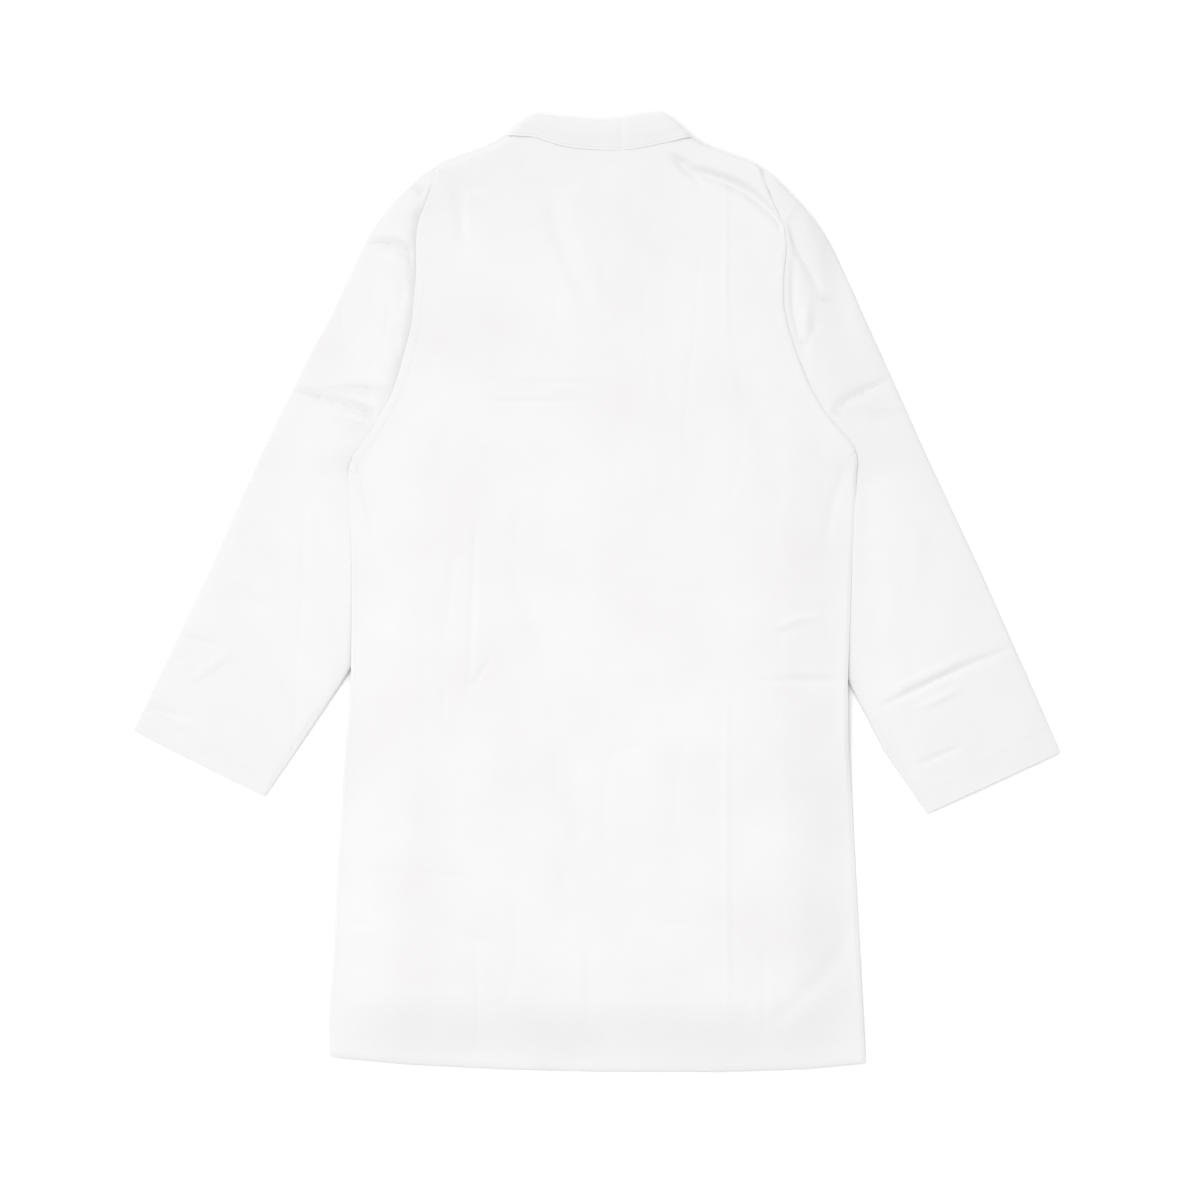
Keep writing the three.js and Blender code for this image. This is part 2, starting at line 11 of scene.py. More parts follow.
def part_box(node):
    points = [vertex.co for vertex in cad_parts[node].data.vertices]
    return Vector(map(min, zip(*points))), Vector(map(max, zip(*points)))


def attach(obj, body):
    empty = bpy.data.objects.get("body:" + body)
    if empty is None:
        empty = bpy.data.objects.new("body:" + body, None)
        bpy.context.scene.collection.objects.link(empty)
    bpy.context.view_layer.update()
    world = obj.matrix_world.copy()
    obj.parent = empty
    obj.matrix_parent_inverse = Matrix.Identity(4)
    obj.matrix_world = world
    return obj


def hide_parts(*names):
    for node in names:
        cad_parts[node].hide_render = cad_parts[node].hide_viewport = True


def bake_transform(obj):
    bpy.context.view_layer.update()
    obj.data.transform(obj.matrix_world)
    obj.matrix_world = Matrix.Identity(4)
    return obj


bl_info = {
    "name": "Lab Coat",
    "version": (1, 0, 0),
    "blender": (4, 5, 0),
    "location": "View3D > Sidebar > Lab Coat",
    "description": "Builds a laid-out lab coat around its packed frame",
    "category": "Object",
}

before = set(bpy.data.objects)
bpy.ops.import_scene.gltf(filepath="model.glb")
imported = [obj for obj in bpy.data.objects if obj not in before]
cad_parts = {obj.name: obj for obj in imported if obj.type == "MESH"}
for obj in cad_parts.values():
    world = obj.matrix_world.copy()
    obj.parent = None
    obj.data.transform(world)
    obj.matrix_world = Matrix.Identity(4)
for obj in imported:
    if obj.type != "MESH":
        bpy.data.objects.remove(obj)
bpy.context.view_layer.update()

MM = 0.001

# Levels and places that come from the frame, in millimetres.
BACK_LOW, BACK_HIGH = (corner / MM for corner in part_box("back_panel"))
LEFT_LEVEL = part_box("left_front")[0].z / MM
RIGHT_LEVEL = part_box("right_front")[0].z / MM
SLEEVE_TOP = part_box("left_sleeve")[1].z / MM
COLLAR_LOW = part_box("under_collar")[0].z / MM
TAPE_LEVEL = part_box("neck_tape")[0].z / MM
HEM_Y = BACK_LOW.y
SHOULDER_Y = BACK_HIGH.y

# Body outline, from the hem up: (height, place across) on each side.
LEFT_OUTLINE = [
    (-506, -281), (-458, -283), (-386, -278), (-300, -274), (-197, -267), (-134, -261),
    (-84, -259), (0, -258), (60, -259), (128, -262), (145, -256), (166, -240), (193, -224),
    (212, -214), (237, -206), (279, -195), (332, -190), (374, -190), (391, -187), (414, -178),
    (435, -171), (449, -170), (462, -134), (470, -111), (485, -88),
]
RIGHT_OUTLINE = [
    (-506, 283), (-386, 277), (-292, 272), (-229, 269), (-166, 265), (-96, 264), (20, 268),
    (139, 274), (153, 270), (168, 257), (190, 238), (217, 223), (249, 210), (277, 201),
    (300, 196), (332, 196), (362, 199), (385, 196), (404, 187), (425, 178), (449, 171),
    (462, 134), (470, 111), (485, 88),
]
HEM_LINE = [(-284, -489), (-200, -497), (-100, -502), (0, -504.5), (130, -505), (220, -502), (284, -496)]
SHOULDER_LINE = [
    (-171, 449), (-134, 462), (-111, 471), (-88, 485), (88, 485), (111, 471), (134, 462), (171, 449),
]

# Armhole lines, from the shoulder to the armpit.
ARMHOLES = {
    "left": [
        (-170, 449), (-172, 430), (-178, 414), (-187, 391), (-190, 368), (-190, 332), (-195, 279),
        (-206, 237), (-214, 212), (-224, 193), (-240, 166), (-256, 145), (-262, 128),
    ],
    "right": [
        (171, 449), (178, 425), (187, 404), (196, 385), (199, 362), (196, 332), (196, 300),
        (201, 277), (210, 249), (223, 217), (238, 190), (257, 168), (272, 148),
    ],
}

# Sleeve edges, from the body to the cuff. The under edge starts beneath the body.
SLEEVE_OUTER = {
    "left": [
        (-164, 451), (-184, 440), (-202, 422), (-222, 401), (-237, 380), (-248, 359), (-258, 338),
        (-268, 317), (-277, 296), (-300, 254), (-321, 212), (-352, 149), (-408, 23), (-488, -146),
    ],
    "right": [
        (165, 451), (184, 440), (200, 422), (220, 401), (236, 380), (249, 359), (259, 338),
        (269, 317), (278, 296), (297, 254), (316, 212), (344, 149), (403, 23), (459, -103), (488, -169),
    ],
}
SLEEVE_UNDER = {
    "left": [
        (-254, 128), (-240, 100), (-233, 40), (-237, -20), (-250, -66), (-274, -103), (-316, -166),
        (-350, -215),
    ],
    "right": [
        (264, 144), (248, 100), (238, 40), (241, -20), (252, -66), (266, -96), (302, -166), (348, -233),
    ],
}

# How much deeper the folds lie than the figures listed for them.
FOLD_STRENGTH = 1.3

# Folds, ridges and hollows in the cloth: a line, half its width and how far it rises, in millimetres.
BACK_FOLDS = [
    ([(-134, 420), (-134, 362)], 3.5, 0.5),
    ([(-150, 424), (-142, 396), (-138, 364)], 9, -1.7),
    ([(-168, 444), (-150, 429), (-138, 422), (-116, 425)], 6, -1.1),
    ([(-160, 432), (-146, 419)], 6, 0.9),
    ([(-127, 80), (-131, -19), (-135, -103)], 3.5, -0.8),
    ([(-135, -100), (-128, -95), (-113, -71)], 3, -0.9),
    ([(-161, -100), (-161, -128)], 3.5, -0.9),
    ([(-150, 40), (-158, -40)], 6, -0.6),
    ([(-127, -360), (-125, -498)], 4, -0.6),
    ([(-9, -370), (-9, -455)], 5, -0.5),
    ([(135, 440), (135, 276)], 3.5, 0.55),
    ([(136, -95), (136, -302), (138, -500)], 3.5, 0.6),
    ([(176, -380), (176, -470)], 4, -0.4),
    ([(-118, 200), (-14, 200)], 4, -0.8),
    ([(-106, 226), (7, 226)], 5, 0.6),
    ([(-60, 214), (-8, 212)], 4, 0.4),
    ([(170, -93), (262, -94)], 4, -0.9),
    ([(190, -84), (254, -86)], 4, 0.5),
    ([(48, 471), (66, 467), (84, 460), (92, 450)], 6, -2.6),
    ([(76, 462), (97, 442), (117, 438), (137, 431), (156, 422), (173, 408), (190, 394), (201, 378),
      (208, 352)], 6.5, -5.0),
    ([(110, 449), (140, 442), (166, 428), (184, 412)], 9, 1.3),
    ([(98, 441), (109, 424)], 4, -1.1),
    ([(86, 438), (120, 424), (150, 408)], 9, 0.7),
    ([(36, 400), (70, 352), (116, 314)], 13, -1.5),
    ([(-78, 440), (-47, 408), (-38, 374), (-25, 340), (-4, 294)], 12, -2.1),
    ([(-50, 426), (-36, 424), (-20, 428)], 5, -0.6),
    ([(-119, 58), (-70, -15), (-59, -58), (-47, -132)], 13, -1.1),
    ([(-252, 140), (-242, 100), (-234, 62)], 5, -1.4),
    ([(-246, 120), (-226, 92), (-214, 60)], 7, 0.7),
    ([(186, -39), (207, -29), (233, -27)], 4, 0.9),
    ([(190, -44), (212, -38)], 4, -0.6),
    ([(-259, -351), (-241, -350)], 3.5, -0.9),
    ([(274, -350), (240, -403), (182, -458)], 11, -1.2),
    ([(-30, -130), (-24, -250), (-40, -340)], 16, -0.7),
    ([(60, -130), (66, -260), (52, -380)], 18, 0.6),
    ([(-200, -330), (-150, -362), (-96, -372)], 13, -0.8),
    ([(262, 130), (248, 96), (242, 50)], 7, -0.9),
    ([(-20, 455), (-16, 380), (-24, 300)], 24, 0.6),
    ([(150, 250), (176, 180), (186, 110)], 15, -0.7),
]
SLEEVE_FOLDS = {
    "left": [
        ([(-322, 213), (-262, 196), (-228, 185)], 4, -1.9),
        ([(-324, 216), (-262, 217), (-210, 214)], 5, 1.2),
        ([(-296, 190), (-240, 174)], 5, 0.8),
        ([(-220, 426), (-190, 423), (-170, 410)], 4, -2.4),
        ([(-214, 408), (-196, 402), (-186, 396)], 8, 1.0),
        ([(-246, 368), (-215, 367), (-196, 356), (-190, 336)], 4.5, -2.6),
        ([(-232, 352), (-216, 346), (-204, 330)], 8, 1.0),
        ([(-212, 330), (-204, 316), (-206, 300)], 6, -1.1),
        ([(-230, 306), (-216, 300)], 7, 0.9),
        ([(-226, 278), (-212, 268), (-208, 252)], 6, -1.2),
        ([(-244, 262), (-226, 240)], 8, 0.8),
        ([(-478, -121), (-434, -131)], 3.5, -1.1),
        ([(-440, -46), (-400, -56)], 3.5, -1.1),
        ([(-425, -92), (-383, -62)], 4.5, 1.0),
        ([(-355, -55), (-330, -88), (-310, -126)], 7, -1.3),
        ([(-380, 60), (-330, 20), (-300, -40)], 16, -0.8),
        ([(-390, 20), (-340, -10)], 7, 0.6),
    ],
    "right": [
        ([(245, 190), (270, 206), (292, 217), (314, 227)], 4, -1.9),
        ([(276, 189), (328, 194)], 4, 1.0),
        ([(256, 186), (284, 200), (300, 204)], 5, 0.8),
        ([(188, 398), (202, 380), (213, 357), (226, 334), (233, 316)], 6, -3.0),
        ([(214, 396), (230, 366), (242, 338)], 9, 1.6),
        ([(213, 416), (205, 401), (199, 388)], 3.5, 0.7),
        ([(229, 309), (249, 307)], 3.5, -1.2),
        ([(207, 350), (205, 320), (206, 296), (214, 262)], 6, -1.8),
        ([(222, 306), (219, 284), (226, 262)], 6, 1.5),
        ([(214, 250), (231, 284)], 5, -1.2),
        ([(300, -120), (348, -97), (386, -79), (442, -57)], 4, -1.9),
        ([(306, -108), (350, -86), (390, -68)], 6, 0.9),
        ([(338, -123), (383, -102)], 4, 1.1),
        ([(301, -131), (318, -160), (337, -190)], 6, -1.2),
        ([(338, -182), (383, -163)], 3.5, -1.1),
        ([(320, 120), (350, 70), (365, 10)], 16, -0.8),
        ([(300, 60), (312, 10), (310, -40)], 12, 0.7),
    ],
}

# Front, seen from below.
BREAK_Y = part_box("left_lapel")[0].y / MM
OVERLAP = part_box("left_front")[1].x / MM


# ------------------------------------------------------------------ lines and surfaces

def edge(points, spread=6):
    """Place across for a height, along a line of chosen points whose corners are eased."""
    heights = [p[0] for p in points]
    fine = np.arange(heights[0], heights[-1] + 1.0, 1.0)
    across = np.interp(fine, heights, [p[1] for p in points])
    window = np.hanning(2 * spread + 1)
    padded = np.pad(across, spread, mode="reflect", reflect_type="odd")
    eased = np.convolve(padded, window / window.sum(), "valid")
    return lambda y: np.interp(y, fine, eased)


def path(points, spread=8):
    """Point at a share of the way along a line of chosen points whose corners are eased."""
    points = np.array(points, float)
    steps = np.hypot(*np.diff(points, axis=0).T)
    travelled = np.concatenate([[0], np.cumsum(steps)])
    fine = np.linspace(0, travelled[-1], int(travelled[-1]) + 1)
    window = np.hanning(2 * spread + 1)
    eased = []
    for axis in range(2):
        raw = np.interp(fine, travelled, points[:, axis])
        padded = np.pad(raw, spread, mode="reflect", reflect_type="odd")
        eased.append(np.convolve(padded, window / window.sum(), "valid"))
    share = fine / fine[-1]
    return lambda t: (np.interp(t, share, eased[0]), np.interp(t, share, eased[1]))


def smooth(t):
    t = np.clip(t, 0, 1)
    return t * t * (3 - 2 * t)


def to_line(x, y, line):
    """Distance to a line of points, and the share of the way along it of the nearest point."""
    best = np.full(x.shape, 1e9)
    share = np.zeros(x.shape)
    lengths = [math.dist(a, b) for a, b in zip(line, line[1:])]
    travelled = 0.0
    for (ax, ay), (bx, by), length in zip(line, line[1:], lengths):
        along = ((x - ax) * (bx - ax) + (y - ay) * (by - ay)) / length**2
        held = np.clip(along, 0, 1)
        far = np.hypot(x - ax - held * (bx - ax), y - ay - held * (by - ay))
        nearer = far < best
        best = np.where(nearer, far, best)
        share = np.where(nearer, (travelled + held * length) / sum(lengths), share)
        travelled += length
    return best, share


def folded(x, y, folds):
    """What a list of folds adds to the height, each fading out at its ends."""
    total = np.zeros(x.shape)
    for line, width, rise in folds:
        far, share = to_line(x, y, line)
        fade = np.sqrt(np.clip(np.sin(np.pi * np.clip(share, 0.04, 0.96)), 0, 1))
        total += FOLD_STRENGTH * rise * fade * np.exp(-((far / (0.85 * width)) ** 2))
    return total


def rumple(x, y, size, seed):
    """Smooth unevenness from -1 to 1, about size millimetres from one rise to the next."""
    heights = np.random.default_rng(seed).uniform(-1, 1, (61, 61))
    gx = x / size + 400.37
    gy = y / size + 400.71
    i = np.floor(gx).astype(int)
    j = np.floor(gy).astype(int)
    s = smooth(gx - i)
    t = smooth(gy - j)
    a = heights[i % 61, j % 61]
    b = heights[(i + 1) % 61, j % 61]
    c = heights[i % 61, (j + 1) % 61]
    d = heights[(i + 1) % 61, (j + 1) % 61]
    return (a * (1 - s) + b * s) * (1 - t) + (c * (1 - s) + d * s) * t


def limp(x, y, seed):
    """The unevenness of limp cloth on a flat surface, in millimetres."""
    broad = 0.4 * rumple(x, y, 190, seed) + 0.2 * rumple(x + y, y - x, 90, seed + 1)
    fine = 0.1 * rumple(x, y, 34, seed + 2) + 0.05 * rumple(x - y, x + y, 15, seed + 3)
    where = smooth(0.5 + 0.9 * rumple(x, y, 120, seed + 6))
    streaks = 0.22 * where * rumple(x, 0.2 * y, 13, seed + 7)
    streaks += 0.15 * (1 - where) * rumple(0.25 * x, y, 15, seed + 8)
    tall = (1 - np.abs(rumple(x, 0.35 * y, 46, seed + 4))) ** 10
    wide = (1 - np.abs(rumple(0.4 * x, y, 58, seed + 5))) ** 11
    return broad + fine + streaks - 0.42 * where * tall - 0.36 * (1 - where) * wide


def rounded(distance, radius):
    """From 1 at an edge to 0 a radius inside it, along a quarter circle."""
    inside = 1 - np.clip(distance / radius, 0, 1)
    return 1 - np.sqrt(np.clip(1 - inside**2, 0, 1))


LEFT_EDGE = edge(LEFT_OUTLINE)
RIGHT_EDGE = edge(RIGHT_OUTLINE)


def hem_height(x):
    return np.interp(x, [p[0] for p in HEM_LINE], [p[1] for p in HEM_LINE])


def body_place(u, v):
    """Flat place of a point on the body: u runs across it and v from the hem to the shoulders."""
    y = HEM_Y + v * (SHOULDER_Y - HEM_Y)
    left = LEFT_EDGE(y)
    x = left + u * (RIGHT_EDGE(y) - left)
    return x, y + (hem_height(x) - HEM_Y) * (1 - smooth((y - HEM_Y) / 120))


def from_side(x, y):
    return np.minimum(x - LEFT_EDGE(y), RIGHT_EDGE(y) - x)


def sides(x, y):
    """How near a point is to a side edge, from 0 to 1: beside the skirt, then beside the arms."""
    near = smooth(1 - from_side(x, y) / 78)
    by_arms = smooth((y + 235) / 130)
    return near * (1 - by_arms), near * by_arms * (1 - smooth((y - 90) / 140))


def droop(x, y):
    """How far the limp skirt has sunk to the floor, from 0 to 1 at its side edges and hem."""
    skirt, _ = sides(x, y)
    hem = smooth(1 - (y - hem_height(x)) / 78)
    return 1 - (1 - skirt) * (1 - hem)


def front_height(side, x, y):
    """Middle of a front: it sinks to the floor at the skirt's edges and lies on the sleeves beside them."""
    level = (LEFT_LEVEL if side == "left" else RIGHT_LEVEL) + 0.4
    _, by_arms = sides(x, y)
    z = level + (SLEEVE_TOP - 0.9 - level) * by_arms
    return z - droop(x, y) * (z - 1.3)


def back_height(x, y):
    """Top of the back: nearly level, coming down to the fronts at its edges."""
    inside = from_side(x, y)
    sunk = droop(x, y)
    _, by_arms = sides(x, y)
    front = np.where(x < 0, front_height("left", x, y), front_height("right", x, y))
    z = BACK_HIGH.z - 13.4 * sunk - 7.4 * by_arms * (1 - sunk)
    to_front = z - front - 1.8
    armhole = smooth((y - 118) / 30) * (1 - smooth((y - 425) / 25))
    z -= (to_front * (1 - armhole) + 0.6 * armhole) * rounded(inside, 4 - sunk - armhole)
    z -= 0.7 * to_front * rounded(y - hem_height(x), 3)
    outline_y = np.interp(x, [p[0] for p in SHOULDER_LINE], [p[1] for p in SHOULDER_LINE])
    from_top = np.where(np.abs(x) < 171, 0.92 * (outline_y - y), 1e3)
    z -= to_front * rounded(from_top, 9) * smooth((np.abs(x) - 80) / 12)
    calm = smooth(inside / (16 - 11 * armhole))
    under_collar = smooth((y - 450) / 12) * smooth((105 - np.abs(x)) / 12)
    loose = calm * (1 - under_collar) * (1 - 0.45 * sunk)
    return np.maximum(z + (limp(x, y, 3) + folded(x, y, BACK_FOLDS)) * loose, front + 1.8)


# ------------------------------------------------------------------ making pieces

def new_piece(name, bm):
    mesh = bpy.data.meshes.new(name)
    bm.to_mesh(mesh)
    bm.free()
    piece = bpy.data.objects.new(name, mesh)
    bpy.context.scene.collection.objects.link(piece)
    return piece


def settle_modifiers(piece):
    """Writes the modifiers' result into the piece's own mesh."""
    graph = bpy.context.evaluated_depsgraph_get()
    mesh = bpy.data.meshes.new_from_object(piece.evaluated_get(graph))
    piece.modifiers.clear()
    piece.data = mesh


def cloth(name, columns, rows, place, height, thickness, weave=None, closed=False):
    """A ply of cloth: a grid laid out flat by place, lifted by height and given its thickness.

    Both take the grid's shares u across and v along; closed joins its two sides into a tube.
    A thickness of 0 leaves the face of the ply alone."""
    bm = bmesh.new()
    layer = bm.loops.layers.uv.new("flat")
    bmesh.ops.create_grid(bm, x_segments=columns, y_segments=rows, size=0.5, calc_uvs=True)
    points = np.array([vert.co for vert in bm.verts])
    u = points[:, 0] + 0.5
    v = points[:, 1] + 0.5
    x, y = place(u, v)
    z = height(x, y, u, v)
    s, t = weave(u, v) if weave else (x, y)
    bm.verts.ensure_lookup_table()
    bm.verts.index_update()
    for i, vert in enumerate(bm.verts):
        vert.co = (x[i] * MM, y[i] * MM, z[i] * MM)
    for face in bm.faces:
        for loop in face.loops:
            i = loop.vert.index
            loop[layer].uv = (s[i] * MM, t[i] * MM)
    if closed:
        bmesh.ops.remove_doubles(bm, verts=bm.verts, dist=1e-5)
    piece = new_piece(name, bm)
    if thickness:
        ply = piece.modifiers.new("ply", "SOLIDIFY")
        ply.thickness = thickness * MM
        ply.offset = 0
        ply.use_rim = True
        settle_modifiers(piece)
    piece.data.shade_smooth()
    piece.data.set_sharp_from_angle(angle=math.radians(55))
    return piece


def between(low_x, high_x, low_y, high_y):
    """Layout of a piece between two lines across it, from low_x to high_x."""

    def place(u, v):
        x = low_x + u * (high_x - low_x)
        low = low_y(x)
        return x, low + v * (high_y(x) - low)

    return place


def rows_between(left, right, low, high):
    """Layout of a piece between two lines along it, from low to high."""

    def place(u, v):
        y = low + v * (high - low)
        first = left(y)
        return first + u * (right(y) - first), y

    return place


def box_place(low, high):
    """Layout of a piece that fills a box seen from above."""
    return rows_between(lambda y: np.full_like(y, low.x), lambda y: np.full_like(y, high.x), low.y, high.y)


def along(line, near, far):
    """Layout of a narrow strip beside a line: v runs along it, u from near to far of it."""
    point = path(line)

    def place(u, v):
        x, y = point(v)
        ahead_x, ahead_y = point(np.minimum(v + 0.01, 1))
        behind_x, behind_y = point(np.maximum(v - 0.01, 0))
        run = np.hypot(ahead_x - behind_x, ahead_y - behind_y)
        normal_x = -(ahead_y - behind_y) / run
        normal_y = (ahead_x - behind_x) / run
        off = near + u * (far - near)
        return x + off * normal_x, y + off * normal_y

    return place


def cells(length, size):
    return max(2, round(length / size))


def declare(piece, body, slot, finish, *nodes):
    """Gives a piece its finish, parents it to the body it moves with, and hides the frame parts it stands
    for.
    """
    piece.data.materials.clear()
    piece.data.materials.append(finish)
    if body:
        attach(piece, body)
    if nodes:
        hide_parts(*nodes)
    return piece


def stitch_row(bm, points, length, radius):
    """Adds one row of thread: a small bead from each stitch hole to the next."""
    points = [Vector(p) for p in points]
    travelled = 0.0
    next_start = 0.0
    pitch = length * 1.3
    for a, b in zip(points, points[1:]):
        span = (b - a).length
        if span < 1e-9:
            continue
        way = (b - a) / span
        turn = way.to_track_quat("X", "Z").to_matrix().to_4x4()
        while next_start + length / 2 < travelled + span:
            middle = a + way * (next_start + length / 2 - travelled)
            shape = Matrix.Diagonal((length / 2, radius, radius, 1))
            bmesh.ops.create_icosphere(
                bm, subdivisions=1, radius=1, matrix=Matrix.Translation(middle) @ turn @ shape
            )
            next_start += pitch
        travelled += span


def stitches(name, rows, body):
    """Rows of stitching, each a list of points in millimetres, as one piece."""
    sizes = bpy.context.scene.coat_sizes
    bm = bmesh.new()
    for row in rows:
        stitch_row(bm, [(x * MM, y * MM, z * MM) for x, y, z in row], sizes.stitch, sizes.thread)
    piece = new_piece(name, bm)
    piece.data.shade_smooth()
    return declare(piece, body, "thread", spun_thread())


def row_on(line, height, count, offset=0.0):
    """Points of a stitch row beside a line, lying on a surface."""
    place = along(line, offset, offset)
    v = np.linspace(0, 1, count)
    x, y = place(np.zeros(count), v)
    return list(zip(x, y, height(x, y)))


# ------------------------------------------------------------------ finishes

def linear(hex_colour):
    """An sRGB hex colour as linear RGBA."""
    shares = [int(hex_colour[i : i + 2], 16) / 255 for i in (1, 3, 5)]
    return [c / 12.92 if c <= 0.04045 else ((c + 0.055) / 1.055) ** 2.4 for c in shares] + [1.0]


def add_node(tree, kind, settings=(), links=()):
    """Adds a node, sets its properties and input values by name, and links its inputs."""
    node = tree.nodes.new(kind)
    for name, value in dict(settings).items():
        if isinstance(name, str) and hasattr(node, name):
            setattr(node, name, value)
        else:
            node.inputs[name].default_value = value
    for name, source in dict(links).items():
        tree.links.new(source, node.inputs[name])
    return node


def new_finish(name, settings):
    finish = bpy.data.materials.get(name)
    if finish:
        return finish, None, None
    finish = bpy.data.materials.new(name)
    finish.use_nodes = True
    tree = finish.node_tree
    shader = tree.nodes["Principled BSDF"]
    for socket, value in settings.items():
        shader.inputs[socket].default_value = value
    return finish, tree, shader


def woven(name, tint, shade, thread_mm, depth, roughness, angle):
    """Woven cloth: diagonal or plain ribs of yarn, slubs, and a faint unevenness of tone. Its colour is
    painted darker between the ribs as painted shade, and lighter on them as a lit tone, and it also varies in
    random patches of tone.
    """
    finish, tree, shader = new_finish(
        name, {"Roughness": roughness, "Sheen Weight": 0.12, "Sheen Roughness": 0.5, "IOR": 1.45}
    )
    if tree is None:
        return finish
    shader.inputs["Specular IOR Level"].default_value = 0.25
    flat = add_node(tree, "ShaderNodeUVMap", {"uv_map": "flat"})
    turned = add_node(
        tree, "ShaderNodeMapping", {"Rotation": (0, 0, math.radians(angle))}, {"Vector": flat.outputs["UV"]}
    )
    # A Wave texture's bands lie pi / (10 * scale) apart, so a rib of thread_mm sets the scale.
    scale = math.pi / (10 * thread_mm * MM)
    ribs = add_node(
        tree, "ShaderNodeTexWave",
        {"Scale": scale, "Distortion": 1.2, "Detail": 2.0, "Detail Scale": 0.6},
        {"Vector": turned.outputs["Vector"]},
    )
    cross = add_node(
        tree, "ShaderNodeTexWave",
        {"bands_direction": "Y", "Scale": scale, "Distortion": 0.8, "Detail": 1.0},
        {"Vector": turned.outputs["Vector"]},
    )
    yarn = add_node(
        tree, "ShaderNodeMath", {"operation": "MULTIPLY"},
        {0: ribs.outputs["Fac"], 1: cross.outputs["Fac"]},
    )
    slubs = add_node(
        tree, "ShaderNodeTexNoise", {"Scale": 420.0, "Detail": 4.0}, {"Vector": turned.outputs["Vector"]}
    )
    patches = add_node(
        tree, "ShaderNodeTexNoise", {"Scale": 9.0, "Detail": 3.0}, {"Vector": turned.outputs["Vector"]}
    )
    rib_shade_and_patches = add_node(
        tree, "ShaderNodeMath", {"operation": "MULTIPLY_ADD", 1: 0.5},
        {0: yarn.outputs[0], 2: patches.outputs["Fac"]},
    )
    # Painted shade and light: the colour runs from the deepest tone between the ribs to the lit tone on them,
    # mixed with random patches of real unevenness of tone.
    tone = add_node(tree, "ShaderNodeValToRGB", {}, {"Fac": rib_shade_and_patches.outputs[0]})
    tone.color_ramp.elements[0].color = linear(shade)
    tone.color_ramp.elements[0].position = 0.25
    tone.color_ramp.elements[1].color = linear(tint)
    tone.color_ramp.elements[1].position = 0.85
    relief = add_node(
        tree, "ShaderNodeMath", {"operation": "MULTIPLY_ADD", 1: 0.35},
        {0: slubs.outputs["Fac"], 2: yarn.outputs[0]},
    )
    bump = add_node(
        tree, "ShaderNodeBump", {"Strength": 0.35, "Distance": depth * MM}, {"Height": relief.outputs[0]}
    )
    tree.links.new(tone.outputs["Color"], shader.inputs["Base Color"])
    tree.links.new(bump.outputs["Normal"], shader.inputs["Normal"])
    return finish


def bleached_twill():
    """Bleached cotton and polyester twill, woven: a fine diagonal rib that gives a dry, even white.

    Its ribs are 0.5 mm apart, drawn at 1.4 mm so that they show."""
    colours = bpy.context.scene.coat_colours
    # The twill's colour is painted darker between its ribs, as painted shade.
    return woven("bleached_twill", colours.cloth, colours.cloth_painted_shade, 1.4, 0.12, 0.9, 45)


def woven_tape():
    """Bleached herringbone tape, woven: closer and flatter than the coat's cloth."""
    colours = bpy.context.scene.coat_colours
    # The tape's colour is painted darker between its ribs, as painted shade.
    return woven("woven_tape", colours.tape, colours.cloth_painted_shade, 0.9, 0.1, 0.8, 90)


def mottled(tree, shader, noise, low, high):
    """Colours a finish from low to high by a noise, and returns the noise and its coordinates."""
    place = add_node(tree, "ShaderNodeTexCoord")
    cloud = add_node(tree, "ShaderNodeTexNoise", noise, {"Vector": place.outputs["Object"]})
    tone = add_node(tree, "ShaderNodeValToRGB", {}, {"Fac": cloud.outputs["Fac"]})
    tone.color_ramp.elements[0].color = linear(low)
    tone.color_ramp.elements[1].color = linear(high)
    tree.links.new(tone.outputs["Color"], shader.inputs["Base Color"])
    return cloud, place


def spun_thread():
    """Spun polyester sewing thread, twisted: slightly glossy, with a twist too fine to draw."""
    finish, tree, shader = new_finish("spun_thread", {"Roughness": 0.55, "Sheen Weight": 0.1, "IOR": 1.5})
    if tree is None:
        return finish
    thread = bpy.context.scene.coat_colours.thread
    fibres, _ = mottled(tree, shader, {"Scale": 900.0, "Detail": 2.0}, "#d6d5d4", thread)
    bump = add_node(tree, "ShaderNodeBump", {"Distance": 0.05 * MM}, {"Height": fibres.outputs["Fac"]})
    tree.links.new(bump.outputs["Normal"], shader.inputs["Normal"])
    return finish


def moulded_resin():
    """Polyester button resin, turned and tumbled: glossy, with a faint pearly cloud."""
    finish, tree, shader = new_finish(
        "moulded_resin", {"Roughness": 0.24, "IOR": 1.54, "Coat Weight": 0.25, "Coat Roughness": 0.12}
    )
    if tree is None:
        return finish
    cloudy = {"Scale": 260.0, "Detail": 3.0, "Distortion": 1.5}
    _, place = mottled(tree, shader, cloudy, "#dcd8d0", bpy.context.scene.coat_colours.button)
    scuffs = add_node(
        tree, "ShaderNodeTexNoise", {"Scale": 3000.0, "Detail": 2.0}, {"Vector": place.outputs["Object"]}
    )
    bump = add_node(
        tree, "ShaderNodeBump", {"Strength": 0.15, "Distance": 0.02 * MM}, {"Height": scuffs.outputs["Fac"]}
    )
    tree.links.new(bump.outputs["Normal"], shader.inputs["Normal"])
    return finish


def studio_paper():
    """Matt white background paper: no visible texture, so only the coat's shadow shows on it."""
    finish, tree, shader = new_finish("studio_paper", {"Roughness": 0.95, "Specular IOR Level": 0.0})
    if tree is None:
        return finish
    mottled(tree, shader, {"Scale": 600.0}, "#fdfdfd", "#ffffff")
    return finish


def declare_twill(piece, *nodes):
    """Declares a piece of the coat's body that is made of its twill."""
    return declare(piece, "coat", "coat_cloth", bleached_twill(), *nodes)


# ------------------------------------------------------------------ properties

def length_property(name, description, default):
    return bpy.props.FloatProperty(
        name=name, description=description, default=default, unit="LENGTH", precision=5
    )


